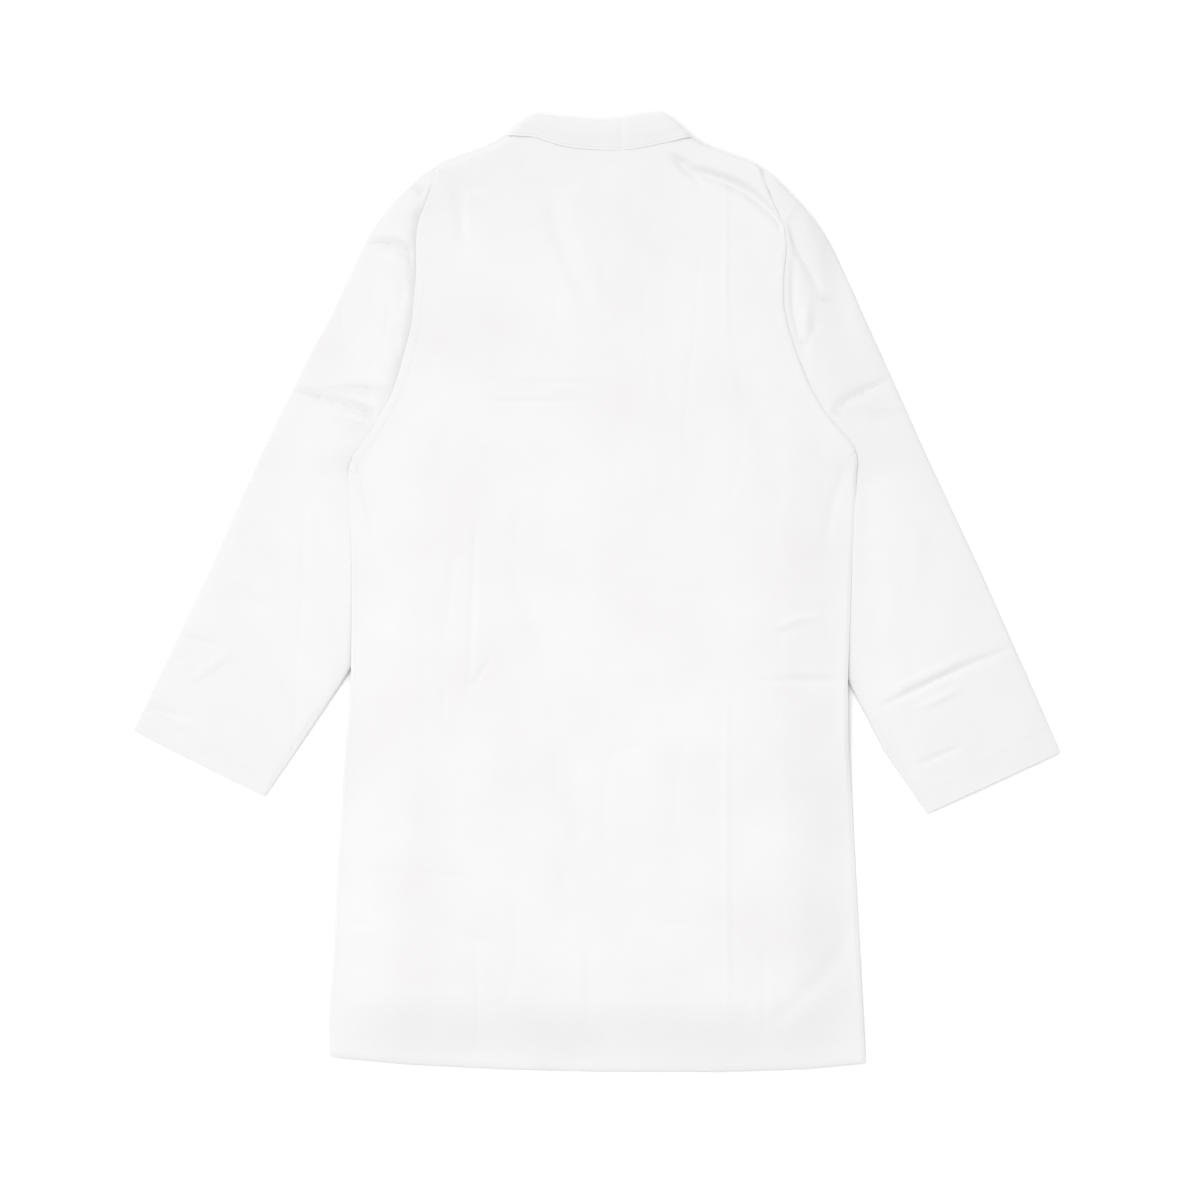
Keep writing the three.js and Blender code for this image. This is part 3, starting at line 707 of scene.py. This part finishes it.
class CoatSizes(bpy.types.PropertyGroup):
    """Sizes that the visible cloth is made to."""

    ply: length_property("Ply", "Thickness of one ply of cloth", 0.0007)
    step: length_property("Mesh step", "Size of a mesh cell on the back and sleeves", 0.0027)
    plain_step: length_property("Plain step", "Size of a mesh cell on the hidden plies", 0.006)
    stitch: length_property("Stitch", "Length of one stitch", 0.003)
    thread: length_property("Thread", "Half the thickness of the sewing thread", 0.00028)


class CoatColours(bpy.types.PropertyGroup):
    """Colours of the coat, as sRGB hex values."""

    # The lit tone and the deepest tone below are painted light and painted shade: the weave is coloured
    # lighter on its ribs and darker between them, and random patches of tone use the same two colours.
    cloth: bpy.props.StringProperty(name="Cloth", description="Lit tone of the twill", default="#e2e1e2")
    cloth_painted_shade: bpy.props.StringProperty(name="Cloth shade", description="Deepest tone", default="#dbd9da")
    tape: bpy.props.StringProperty(name="Tape", description="Neck tape, loop and label", default="#e0dfdc")
    thread: bpy.props.StringProperty(name="Thread", description="Sewing thread", default="#e6e5e5")
    button: bpy.props.StringProperty(name="Button", description="Button resin", default="#e9e6df")


# ------------------------------------------------------------------ operators

def mesh_steps():
    sizes = bpy.context.scene.coat_sizes
    return sizes.step / MM, sizes.plain_step / MM, sizes.ply / MM


# Width of the felled side seams, in millimetres.
SEAM_WIDTH = 10.0


class COAT_OT_back(bpy.types.Operator):
    """Makes the one-piece back with its hem and the felled seams along its edges"""

    bl_idname = "coat.back"
    bl_label = "Back"

    def execute(self, context):
        step, plain, ply = mesh_steps()
        width = BACK_HIGH.x - BACK_LOW.x
        length = SHOULDER_Y - HEM_Y
        back = cloth(
            "back", cells(width, step), cells(length, step), body_place,
            lambda x, y, u, v: back_height(x, y), 0,
        )
        declare_twill(back, "back_panel")
        self.make_hem(plain, ply)
        for side, outline in (("left", LEFT_OUTLINE), ("right", RIGHT_OUTLINE)):
            self.make_seams(side, outline, plain, ply)
        return {"FINISHED"}

    def make_hem(self, plain, ply):
        """The turned-up edge, lying under the back."""
        depth = 25.0
        place = between(
            BACK_LOW.x + 7, BACK_HIGH.x - 7, lambda x: hem_height(x) + 0.2, lambda x: hem_height(x) + depth
        )
        hem = cloth(
            "back_hem_cloth", cells(550, plain), 5, place,
            lambda x, y, u, v: back_height(x, y) - ply - 0.1, 1.6 * ply,
        )
        declare_twill(hem, "back_hem")

    def make_seams(self, side, outline, plain, ply):
        sign = -1 if side == "left" else 1
        side_line = [(x, y) for y, x in outline if -490 < y < 130]
        strip = cloth(
            f"{side}_side_seam_cloth", 5, cells(620, plain), along(side_line, sign * 0.3, sign * SEAM_WIDTH),
            lambda x, y, u, v: back_height(x, y) - ply - 0.1, 1.6 * ply,
        )
        declare_twill(strip, f"{side}_side_seam")
        shoulder = [(sign * 168, 447), (sign * 134, 459), (sign * 111, 467), (sign * 92, 478)]
        top = cloth(
            f"{side}_shoulder_seam_cloth", 4, cells(90, plain), along(shoulder, 0, sign * 9.0),
            lambda x, y, u, v: back_height(x, y) - 1.7 * ply - 0.4, ply,
        )
        declare_twill(top, f"{side}_shoulder_seam")


# How limp the sleeves are beside the back, how deep the left one sinks by its armhole, and how
# far both rise beside the body, in millimetres.
SLEEVE_LIMPNESS = 1.45
HOLLOW_BY_ARMHOLE = 2.0
RISE_BY_BODY = 1.3


class COAT_OT_sleeves(bpy.types.Operator):
    """Makes both sleeves as flattened tubes, with their cuff hems and armhole seams"""

    bl_idname = "coat.sleeves"
    bl_label = "Sleeves"

    def execute(self, context):
        for side in ("left", "right"):
            self.make_sleeve(side)
            self.make_armhole_seam(side)
        return {"FINISHED"}

    def plan(self, side, start, end, inset):
        """Plan of the tube: u runs round it from the outer edge, v from the armhole to the cuff."""
        sign = -1 if side == "left" else 1
        outer = path(SLEEVE_OUTER[side])
        under = path(SLEEVE_UNDER[side])
        armhole = path([(x - 7.0 * sign, y) for x, y in ARMHOLES[side]])

        def place(u, v):
            across = (1 - np.cos(2 * np.pi * u)) / 2
            along_sleeve = start + v * (end - start)
            ox, oy = outer(along_sleeve)
            ux, uy = under(along_sleeve)
            narrow = inset / np.maximum(np.hypot(ux - ox, uy - oy), 1)
            across = narrow + across * (1 - 2 * narrow)
            ax, ay = armhole(across)
            fx, fy = outer(np.zeros_like(v))
            gx, gy = under(np.zeros_like(v))
            bow = np.clip(1 - along_sleeve / 0.22, 0, 1) ** 2
            x = ox + across * (ux - ox) + bow * (ax - fx - across * (gx - fx))
            y = oy + across * (uy - oy) + bow * (ay - fy - across * (gy - fy))
            return x, y

        return place

    def surface(self, side, inset):
        """Height of the tube: as high as the back at the armhole, level on the arm, flatter to the cuff."""
        sign = -1 if side == "left" else 1
        level = LEFT_LEVEL if side == "left" else RIGHT_LEVEL
        folds = SLEEVE_FOLDS[side]
        flush = 375 if side == "left" else 345
        cuff = [SLEEVE_OUTER[side][-1], SLEEVE_UNDER[side][-1]]

        def height(x, y, u, v):
            far, _ = to_line(x, y, ARMHOLES[side])
            joined = (1 - smooth((far - 4) / 62)) * smooth((y - 60) / 110)
            calm = smooth((far - 2) / 7)
            from_cuff, _ = to_line(x, y, cuff)
            flat_top = SLEEVE_TOP - 0.6 - 2.6 * (1 - smooth(from_cuff / 130))
            shoulder = smooth((y - flush) / 50)
            back = back_height(x, y)
            top = flat_top + joined * (back - 1.0 + 0.7 * shoulder - flat_top)
            if side == "left":
                hollow = smooth((y - 180) / 60) * (1 - smooth((y - 390) / 35))
                top -= HOLLOW_BY_ARMHOLE * np.exp(-((far / 9) ** 2)) * hollow
            inside = from_side(x, y)
            beside = np.exp(-((inside / 11) ** 2)) * (1 - smooth((y - 90) / 40))
            loose = SLEEVE_LIMPNESS * limp(x, y, 40 + 7 * sign) + folded(x, y, folds)
            top += loose * calm * (1 - 0.7 * beside) + RISE_BY_BODY * beside
            at_armhole = smooth((y - 108) / 44)
            cover = at_armhole * (back - 1.1 + 0.6 * smooth((y - 415) / 15))
            cover += (1 - at_armhole) * (front_height(side, x, y) - 0.7)
            tucked = inside > 1.2 - 1.7 * at_armhole
            top = np.where(tucked, np.minimum(top, cover), top)
            bottom = 0.75 + joined * (level + 1.4)
            swing = np.sin(2 * np.pi * u)
            rise = np.sign(swing) * np.abs(swing) ** (0.56 - 0.2 * joined)
            middle = bottom + (0.22 + 0.2 * joined) * (top - bottom)
            half = np.where(rise > 0, top - middle, middle - bottom) - inset
            return middle + rise * half

        return height

    def make_sleeve(self, side):
        step, _, ply = mesh_steps()
        place = self.plan(side, 0.0, 1.0, 0.0)
        sleeve = cloth(
            f"{side}_sleeve_cloth", cells(480, step), cells(650, step), place, self.surface(side, 0.0), ply,
            weave=lambda u, v: (440 * u, 600 * v), closed=True,
        )
        declare(
            sleeve, None, "coat_cloth", bleached_twill(), f"{side}_sleeve_head", f"{side}_sleeve",
            f"{side}_under_sleeve",
        )
        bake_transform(sleeve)
        hem = cloth(
            f"{side}_cuff_hem_cloth", 90, 8, self.plan(side, 0.955, 0.998, 1.4), self.surface(side, 0.9), ply,
            weave=lambda u, v: (310 * u, 25 * v), closed=True,
        )
        declare(hem, f"{side}_sleeve", "coat_cloth", bleached_twill(), f"{side}_sleeve_hem")
        self.make_stitching(side, place)

    def make_stitching(self, side, place):
        """The felled seam inside the under edge and the stitching of the cuff hem."""
        height = self.surface(side, 0.0)
        rows = []
        for share in (0.437, 0.448):
            v = np.linspace(0.72, 0.95, 40)
            u = np.full(40, share)
            x, y = place(u, v)
            rows.append(list(zip(x, y, height(x, y, u, v) + 0.3)))
        for first, last in ((0.03, 0.47), (0.97, 0.53)):
            u = np.linspace(first, last, 40)
            v = np.full(40, 0.957)
            x, y = place(u, v)
            off = 0.28 if first < 0.5 else -0.28
            rows.append(list(zip(x, y, height(x, y, u, v) + off)))
        stitches(f"{side}_sleeve_stitching", rows, f"{side}_sleeve")

    def proud(self, y, u):
        """Height of the felled band above the back: flat, thin at its edges and at the shoulder."""
        return 0.1 + 0.2 * (1 - smooth((y - 330) / 40)) * (1 - np.abs(2 * u - 1) ** 6)

    def make_armhole_seam(self, side):
        """A felled band along the armhole, standing a little proud of the back."""
        _, _, ply = mesh_steps()
        sign = -1 if side == "left" else 1
        inward = 9.0 * sign
        line = [(x, y) for x, y in ARMHOLES[side] if y < 366]
        band = cloth(
            f"{side}_armhole_seam_cloth", 6, 110, along(line, sign * -0.6, -inward),
            lambda x, y, u, v: back_height(x, y) - 0.35 + self.proud(y, u), ply,
        )
        declare_twill(band, f"{side}_armhole_seam")
        rows = [row_on(line, lambda x, y: back_height(x, y) + self.proud(y, 0.5) - 0.1, 110, -2.2 * sign)]
        stitches(f"{side}_armhole_stitching", rows, "coat")


class COAT_OT_fronts(bpy.types.Operator):
    """Makes the two fronts with their facings, lapels, hems and the front ends of the collar"""

    bl_idname = "coat.fronts"
    bl_label = "Fronts"

    def execute(self, context):
        for side in ("left", "right"):
            self.make_front(side)
            self.make_lapel(side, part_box(f"{side}_lapel")[0].z / MM)
        return {"FINISHED"}

    def sided(self, side, outward, inward):
        """Orders two lines drawn for the right half so that the first is always at the lower x."""
        if side == "right":
            return inward, outward
        return (lambda y: -outward(y)), (lambda y: -inward(y))

    def roll(self, y):
        """Place across of the line that the lapel rolls over."""
        rise = np.clip((y - BREAK_Y) / (SHOULDER_Y - BREAK_Y), 0, 1)
        return -OVERLAP + rise * (88 + OVERLAP)

    def make_front(self, side):
        _, plain, ply = mesh_steps()

        def body_edge(y):
            inset = 1.5 + 2.7 * smooth((y + 235) / 130)
            return (-LEFT_EDGE(y) if side == "left" else RIGHT_EDGE(y)) - inset

        left, right = self.sided(side, body_edge, self.roll)

        def place(u, v):
            y = HEM_Y + v * (SHOULDER_Y - 4 - HEM_Y)
            x = left(y) + u * (right(y) - left(y))
            return x, y + (hem_height(x) + 2 - HEM_Y) * (1 - smooth((y - HEM_Y) / 120))

        def height(x, y, u, v):
            return front_height(side, x, y) + 0.12 * rumple(x, y, 60, 11) * smooth(from_side(x, y) / 20)

        front = cloth(f"{side}_front_cloth", cells(300, plain), cells(985, plain), place, height, ply)
        declare_twill(front, f"{side}_front")
        self.make_facing(side, ply, plain)
        self.make_front_stitching(side, place, height, ply)

    def make_facing(self, side, ply, plain):
        inner = edge([(-480, 50), (140, 50), (472, 112), (486, 112)], 10)
        left, right = self.sided(side, inner, self.roll)
        place = rows_between(left, right, HEM_Y + 30, SHOULDER_Y - 16)
        facing = cloth(
            f"{side}_facing_cloth", cells(70, plain), cells(950, plain), place,
            lambda x, y, u, v: front_height(side, x, y) + 1.1, ply,
        )
        declare_twill(facing, f"{side}_front_facing")
        sign = -1 if side == "left" else 1
        low_x, high_x = sorted((sign * -OVERLAP, sign * 276))
        hem = cloth(
            f"{side}_front_hem_cloth", cells(290, plain), 5,
            between(low_x, high_x, lambda x: hem_height(x) + 3.5, lambda x: hem_height(x) + 27),
            lambda x, y, u, v: front_height(side, x, y) + 1.1, ply,
        )
        declare_twill(hem, f"{side}_front_hem")

    def make_front_stitching(self, side, place, height, ply):
        """Edge stitching up the front and round the hem, on the outer face, which looks down."""
        at_edge = 0.975 if side == "left" else 0.025
        rows = []
        for u_line, v_line in (
            (np.full(60, at_edge), np.linspace(0.02, 0.72, 60)),
            (np.linspace(0.02, 0.98, 40), np.full(40, 0.026)),
        ):
            x, y = place(u_line, v_line)
            rows.append(list(zip(x, y, height(x, y, u_line, v_line) - ply / 2 - 0.1)))
        stitches(f"{side}_front_stitching", rows, "coat")

    def make_lapel(self, side, level):
        _, plain, ply = mesh_steps()
        outer = edge(
            [(BREAK_Y, -OVERLAP), (250, 32), (299, 78), (350, 112), (400, 134), (411, 98), (425, 65)], 2
        )
        left, right = self.sided(side, outer, self.roll)
        lapel = cloth(
            f"{side}_lapel_cloth", cells(90, plain), cells(210, plain),
            rows_between(left, right, BREAK_Y + 1, 424),
            lambda x, y, u, v: np.full_like(x, level + 0.4), ply,
        )
        declare_twill(lapel, f"{side}_lapel")
        tip = edge([(414, 101), (425, 126), (478, 98), (484, 90)], 2)
        neck = edge([(414, 99), (429, 67), (484, 87)], 2)
        left, right = self.sided(side, tip, neck)
        point = cloth(
            f"{side}_collar_point_cloth", 10, 14, rows_between(left, right, 414.5, 483),
            lambda x, y, u, v: np.full_like(x, level + 0.4), ply,
        )
        declare_twill(point, f"{side}_collar_point")


class COAT_OT_collar(bpy.types.Operator):
    """Makes the collar's fall, the stand inside it and its edge stitching"""

    bl_idname = "coat.collar"
    bl_label = "Collar"

    LOWER_EDGE = [
        (-93, 479.5), (-67, 478), (-56, 474.5), (-39, 469), (-22, 466), (-2, 464.5), (20, 463.7), (37, 465),
        (54, 468), (79, 473.5), (98, 478),
    ]
    UPPER_EDGE = [
        (-93, 481), (-88, 487), (-81, 493), (-72, 499.5), (-64, 502.5), (-55, 501), (-39, 498), (-5, 495),
        (12, 494.6), (25, 496), (39, 499), (54, 502.5), (64, 504.3), (70, 503.5), (77, 498), (86, 490),
        (98, 479.5),
    ]

    def execute(self, context):
        _, _, ply = mesh_steps()
        lower = edge(self.LOWER_EDGE, 4)
        upper = edge(self.UPPER_EDGE, 3)
        board = 0.9 * ply

        def height(x, y, u, v):
            """Rolled over at the fold, lying close to the back at its lower edge."""
            from_fold = upper(x) - y
            from_lower = y - lower(x)
            from_end = np.minimum(x + 93, 98 - x)
            z = COLLAR_LOW + 0.1 + 2.2 * smooth(from_lower / 18)
            gaping = np.exp(-(((x + 80) / 9) ** 2)) + np.exp(-(((x - 87) / 8) ** 2))
            z += 0.8 * gaping * (1 - smooth(from_lower / 12))
            z -= 2.6 * rounded(from_fold, 7) + 1.2 * rounded(from_end, 10)
            z += 0.25 * rumple(x, y, 30, 77)
            join, _ = to_line(x, y, [(26, 505), (25, 478), (27, 466)])
            sag, _ = to_line(x, y, [(-60, 488), (-10, 481), (50, 488)])
            return z - 0.8 * np.exp(-((join / 2.6) ** 2)) + 0.3 * np.exp(-((sag / 8) ** 2))

        fall = cloth(
            "collar_fall_cloth", 96, 20, between(-93, 98, lower, upper), height, board,
        )
        soften = fall.modifiers.new("edge", "BEVEL")
        soften.width = 0.2 * MM
        soften.segments = 2
        soften.limit_method = "ANGLE"
        settle_modifiers(fall)
        declare(
            fall, "collar_fall", "coat_cloth", bleached_twill(), "upper_collar", "under_collar",
            "collar_interlining",
        )
        self.make_stand(ply)
        self.make_stitching(lower, height, board)
        return {"FINISHED"}

    def make_stand(self, ply):
        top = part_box("collar_stand")[1].y / MM - 4
        low = edge([(-84, 483), (-60, 474), (0, 471), (60, 474), (84, 483)], 8)
        shoulder = edge([(-84, 485), (-66, top - 2), (0, top), (66, top - 2), (84, 485)], 4)
        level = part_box("collar_stand")[0].z / MM
        stand = cloth(
            "collar_stand_cloth", 48, 8, between(-83, 83, low, shoulder),
            lambda x, y, u, v: level + 0.3 + 0.4 * v, ply,
        )
        declare(stand, None, "coat_cloth", bleached_twill(), "collar_stand")
        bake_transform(stand)

    def make_stitching(self, lower, height, board):
        """One row of stitching beside the fall's lower edge."""
        inset = 3.0
        x = np.linspace(-90, 95, 120)
        y = lower(x) + inset
        z = height(x, y, x, x) + board / 2 + 0.05
        stitches("collar_stitching", [list(zip(x, y, z))], "collar_fall")


class COAT_OT_pockets(bpy.types.Operator):
    """Makes the three patch pockets on the fronts, with their hems and stitching"""

    bl_idname = "coat.pockets"
    bl_label = "Pockets"

    def execute(self, context):
        self.make_pocket("left_hip_pocket", "left")
        self.make_pocket("right_hip_pocket", "right")
        self.make_pocket("chest_pocket", "left")
        return {"FINISHED"}

    def make_pocket(self, name, side):
        _, _, ply = mesh_steps()
        low, high = (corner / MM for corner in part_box(name))
        hem_low, hem_high = (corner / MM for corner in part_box(f"{name}_hem"))

        def height(x, y, u, v):
            edge_z = front_height(side, x, y) - 1.1
            closed = np.minimum(np.minimum(x - low.x, high.x - x), y - low.y)
            return edge_z - (edge_z - 0.5) * smooth(closed / 24) ** 0.7

        def hull(u, v):
            """Lower corners cut off at a slant."""
            y = low.y + v * (high.y - low.y)
            slant = np.clip(14 - (y - low.y), 0, 14)
            return low.x + slant + u * (high.x - low.x - 2 * slant), y

        bag = cloth(
            f"{name}_cloth", cells(high.x - low.x, 5), cells(high.y - low.y, 5), hull, height, ply
        )
        declare_twill(bag, name)
        width = high.x - low.x
        mouth = rows_between(
            lambda y: np.full_like(y, low.x), lambda y: np.full_like(y, high.x), hem_low.y, hem_high.y
        )
        hem = cloth(f"{name}_hem_cloth", cells(width, 5), 6, mouth, height, 1.5 * ply)
        declare_twill(hem, f"{name}_hem")
        self.make_stitching(name, low, high, hem_low, hem_high, height, ply)

    def make_stitching(self, name, low, high, hem_low, hem_high, height, ply):
        inset = 2.2
        sides = [
            (low.x + inset, hem_high.y - 1), (low.x + inset, low.y + 14), (low.x + 14, low.y + inset),
            (high.x - 14, low.y + inset), (high.x - inset, low.y + 14), (high.x - inset, hem_high.y - 1),
        ]
        across = [(low.x + 3, hem_low.y + 2), (high.x - 3, hem_low.y + 2)]
        rows = []
        for line in (sides, across):
            point = path(line, 2)
            x, y = point(np.linspace(0, 1, 120))
            rows.append(list(zip(x, y, height(x, y, x, y) - ply / 2 - 0.15)))
        stitches(f"{name}_stitching", rows, "coat")


class COAT_OT_neck(bpy.types.Operator):
    """Makes the neck tape, the hanger loop and the blank label inside the neck"""

    bl_idname = "coat.neck"
    bl_label = "Inside the neck"

    def execute(self, context):
        tape_low, tape_high = (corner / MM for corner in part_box("neck_tape"))
        neckline = edge([(-84, 482), (-60, 474), (0, 469), (60, 474), (84, 482)], 10)
        tape = cloth(
            "neck_tape_cloth", 48, 5,
            between(tape_low.x + 1, tape_high.x - 1, lambda x: neckline(x) - 13, neckline),
            lambda x, y, u, v: np.full_like(x, TAPE_LEVEL + 0.3), 0.5,
        )
        declare(tape, "coat", "tape", woven_tape(), "neck_tape")
        self.make_loop()
        self.make_label()
        return {"FINISHED"}

    def make_loop(self):
        low, high = (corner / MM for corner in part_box("hanger_loop"))
        foot = 6.0

        def height(x, y, u, v):
            inward = (high.x - foot - np.abs(x)) / 7
            return high.z - 0.35 - (high.z - low.z - 0.8) * smooth(inward)

        loop = cloth(
            "hanger_loop_cloth", 60, 4,
            box_place(low, high),
            height, 0.6,
        )
        declare(loop, "coat", "tape", woven_tape(), "hanger_loop")
        z = high.z - 0.8
        rows = [[(sign * 23, low.y + 1, z), (sign * 20.5, high.y - 1, z)] for sign in (-1, 1)]
        stitches("hanger_loop_stitching", rows, "coat")

    def make_label(self):
        low, high = (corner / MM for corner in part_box("size_label"))
        middle = (low.z + high.z) / 2
        label = cloth(
            "size_label_cloth", 20, 14,
            box_place(low, high),
            lambda x, y, u, v: np.full_like(x, middle), 0.3,
        )
        declare(label, "coat", "tape", woven_tape(), "size_label")
        inset = 2.0
        corners = [
            (low.x + inset, low.y + inset), (high.x - inset, low.y + inset), (high.x - inset, high.y - inset),
            (low.x + inset, high.y - inset), (low.x + inset, low.y + inset),
        ]
        rows = [[(x, y, low.z - 0.05) for x, y in corners]]
        stitches("size_label_stitching", rows, "coat")


class COAT_OT_edge_stitching(bpy.types.Operator):
    """Makes the stitching along the sides and the hem of the back"""

    bl_idname = "coat.edge_stitching"
    bl_label = "Edge stitching"

    def execute(self, context):
        lift = -0.1
        rows = []
        for sign, outline in ((-1, LEFT_OUTLINE), (1, RIGHT_OUTLINE)):
            side = [(x, y) for y, x in outline if -486 < y < 126]
            rows.append(row_on(side, lambda x, y: back_height(x, y) + lift, 200, sign * 4.0))
        x = np.linspace(-272, 274, 200)
        y = hem_height(x) + 5
        rows.append(list(zip(x, y, back_height(x, y) + lift)))
        stitches("back_stitching", rows, "coat")
        return {"FINISHED"}


class COAT_OT_buttons(bpy.types.Operator):
    """Gives the five buttons and their threads their finishes"""

    bl_idname = "coat.buttons"
    bl_label = "Buttons"

    def execute(self, context):
        for name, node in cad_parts.items():
            if not name.startswith("button"):
                continue
            finish = spun_thread() if "thread" in name else moulded_resin()
            node.data.materials.clear()
            node.data.materials.append(finish)
        return {"FINISHED"}


class COAT_OT_studio(bpy.types.Operator):
    """Sets up the white floor, the soft light and the camera straight above the coat"""

    bl_idname = "coat.studio"
    bl_label = "Studio"

    VIEW_WIDTH = 1260.0
    VIEW_MIDDLE = (3.2, -8.4)
    CAMERA_HEIGHT = 4200.0
    SENSOR = 36.0
    WORLD_STRENGTH = 0.825
    KEY_STRENGTH = 1.15
    KEY_ANGLE = 60
    KEY_FROM = (-0.6, 0.7, 1.3)
    FILL_SIZE = 0.9
    FILL_WATTS = 2.4
    FILL_PLACE = (-0.18, -0.1, 1.15)

    def execute(self, context):
        bm = bmesh.new()
        bmesh.ops.create_grid(bm, x_segments=2, y_segments=2, size=6.0)
        floor = new_piece("floor", bm)
        floor.data.materials.append(studio_paper())
        self.make_light()
        self.make_fill()
        self.make_camera(context)
        return {"FINISHED"}

    def make_light(self):
        """White light from all round, and a very soft sun from the upper left."""
        scene = bpy.context.scene
        world = bpy.data.worlds.new("studio")
        scene.world = world
        world.use_nodes = True
        backdrop = world.node_tree.nodes["Background"]
        backdrop.inputs["Color"].default_value = linear("#ffffff")
        backdrop.inputs["Strength"].default_value = self.WORLD_STRENGTH
        scene.view_settings.view_transform = "Standard"
        key = bpy.data.lights.new("key", "SUN")
        key.energy = self.KEY_STRENGTH
        key.angle = math.radians(self.KEY_ANGLE)
        lamp = bpy.data.objects.new("key", key)
        scene.collection.objects.link(lamp)
        lamp.rotation_euler = Vector(self.KEY_FROM).to_track_quat("Z", "Y").to_euler()

    def make_fill(self):
        """A weak broad lamp left of the middle, so that the ends and right side are a little darker."""
        fill = bpy.data.lights.new("fill", "AREA")
        fill.size = self.FILL_SIZE
        fill.energy = self.FILL_WATTS
        lamp = bpy.data.objects.new("fill", fill)
        bpy.context.scene.collection.objects.link(lamp)
        lamp.location = self.FILL_PLACE

    def make_camera(self, context):
        lens = bpy.data.cameras.new("camera")
        lens.sensor_width = self.SENSOR
        lens.lens = self.SENSOR * (self.CAMERA_HEIGHT - BACK_HIGH.z) / self.VIEW_WIDTH
        lens.clip_end = 50
        camera = bpy.data.objects.new("camera", lens)
        camera.location = (self.VIEW_MIDDLE[0] * MM, self.VIEW_MIDDLE[1] * MM, self.CAMERA_HEIGHT * MM)
        context.scene.collection.objects.link(camera)
        context.scene.camera = camera


class COAT_PT_panel(bpy.types.Panel):
    """Sizes, colours and steps of the lab coat"""

    bl_idname = "COAT_PT_panel"
    bl_label = "Lab Coat"
    bl_space_type = "VIEW_3D"
    bl_region_type = "UI"
    bl_category = "Lab Coat"

    def draw(self, context):
        layout = self.layout
        sizes = context.scene.coat_sizes
        colours = context.scene.coat_colours
        for name in ("ply", "step", "plain_step", "stitch", "thread"):
            layout.prop(sizes, name)
        for name in ("cloth", "cloth_painted_shade", "tape", "thread", "button"):
            layout.prop(colours, name)
        for operator in OPERATORS:
            layout.operator(operator.bl_idname)


OPERATORS = (
    COAT_OT_back,
    COAT_OT_sleeves,
    COAT_OT_fronts,
    COAT_OT_collar,
    COAT_OT_pockets,
    COAT_OT_neck,
    COAT_OT_edge_stitching,
    COAT_OT_buttons,
    COAT_OT_studio,
)
CLASSES = (CoatSizes, CoatColours, *OPERATORS, COAT_PT_panel)


def register():
    for cls in CLASSES:
        bpy.utils.register_class(cls)
    bpy.types.Scene.coat_sizes = bpy.props.PointerProperty(type=CoatSizes)
    bpy.types.Scene.coat_colours = bpy.props.PointerProperty(type=CoatColours)


def unregister():
    del bpy.types.Scene.coat_colours
    del bpy.types.Scene.coat_sizes
    for cls in reversed(CLASSES):
        bpy.utils.unregister_class(cls)


def main():
    register()
    bpy.ops.coat.back()
    bpy.ops.coat.sleeves()
    bpy.ops.coat.fronts()
    bpy.ops.coat.collar()
    bpy.ops.coat.pockets()
    bpy.ops.coat.neck()
    bpy.ops.coat.edge_stitching()
    bpy.ops.coat.buttons()
    bpy.ops.coat.studio()


if __name__ == "__main__":
    main()
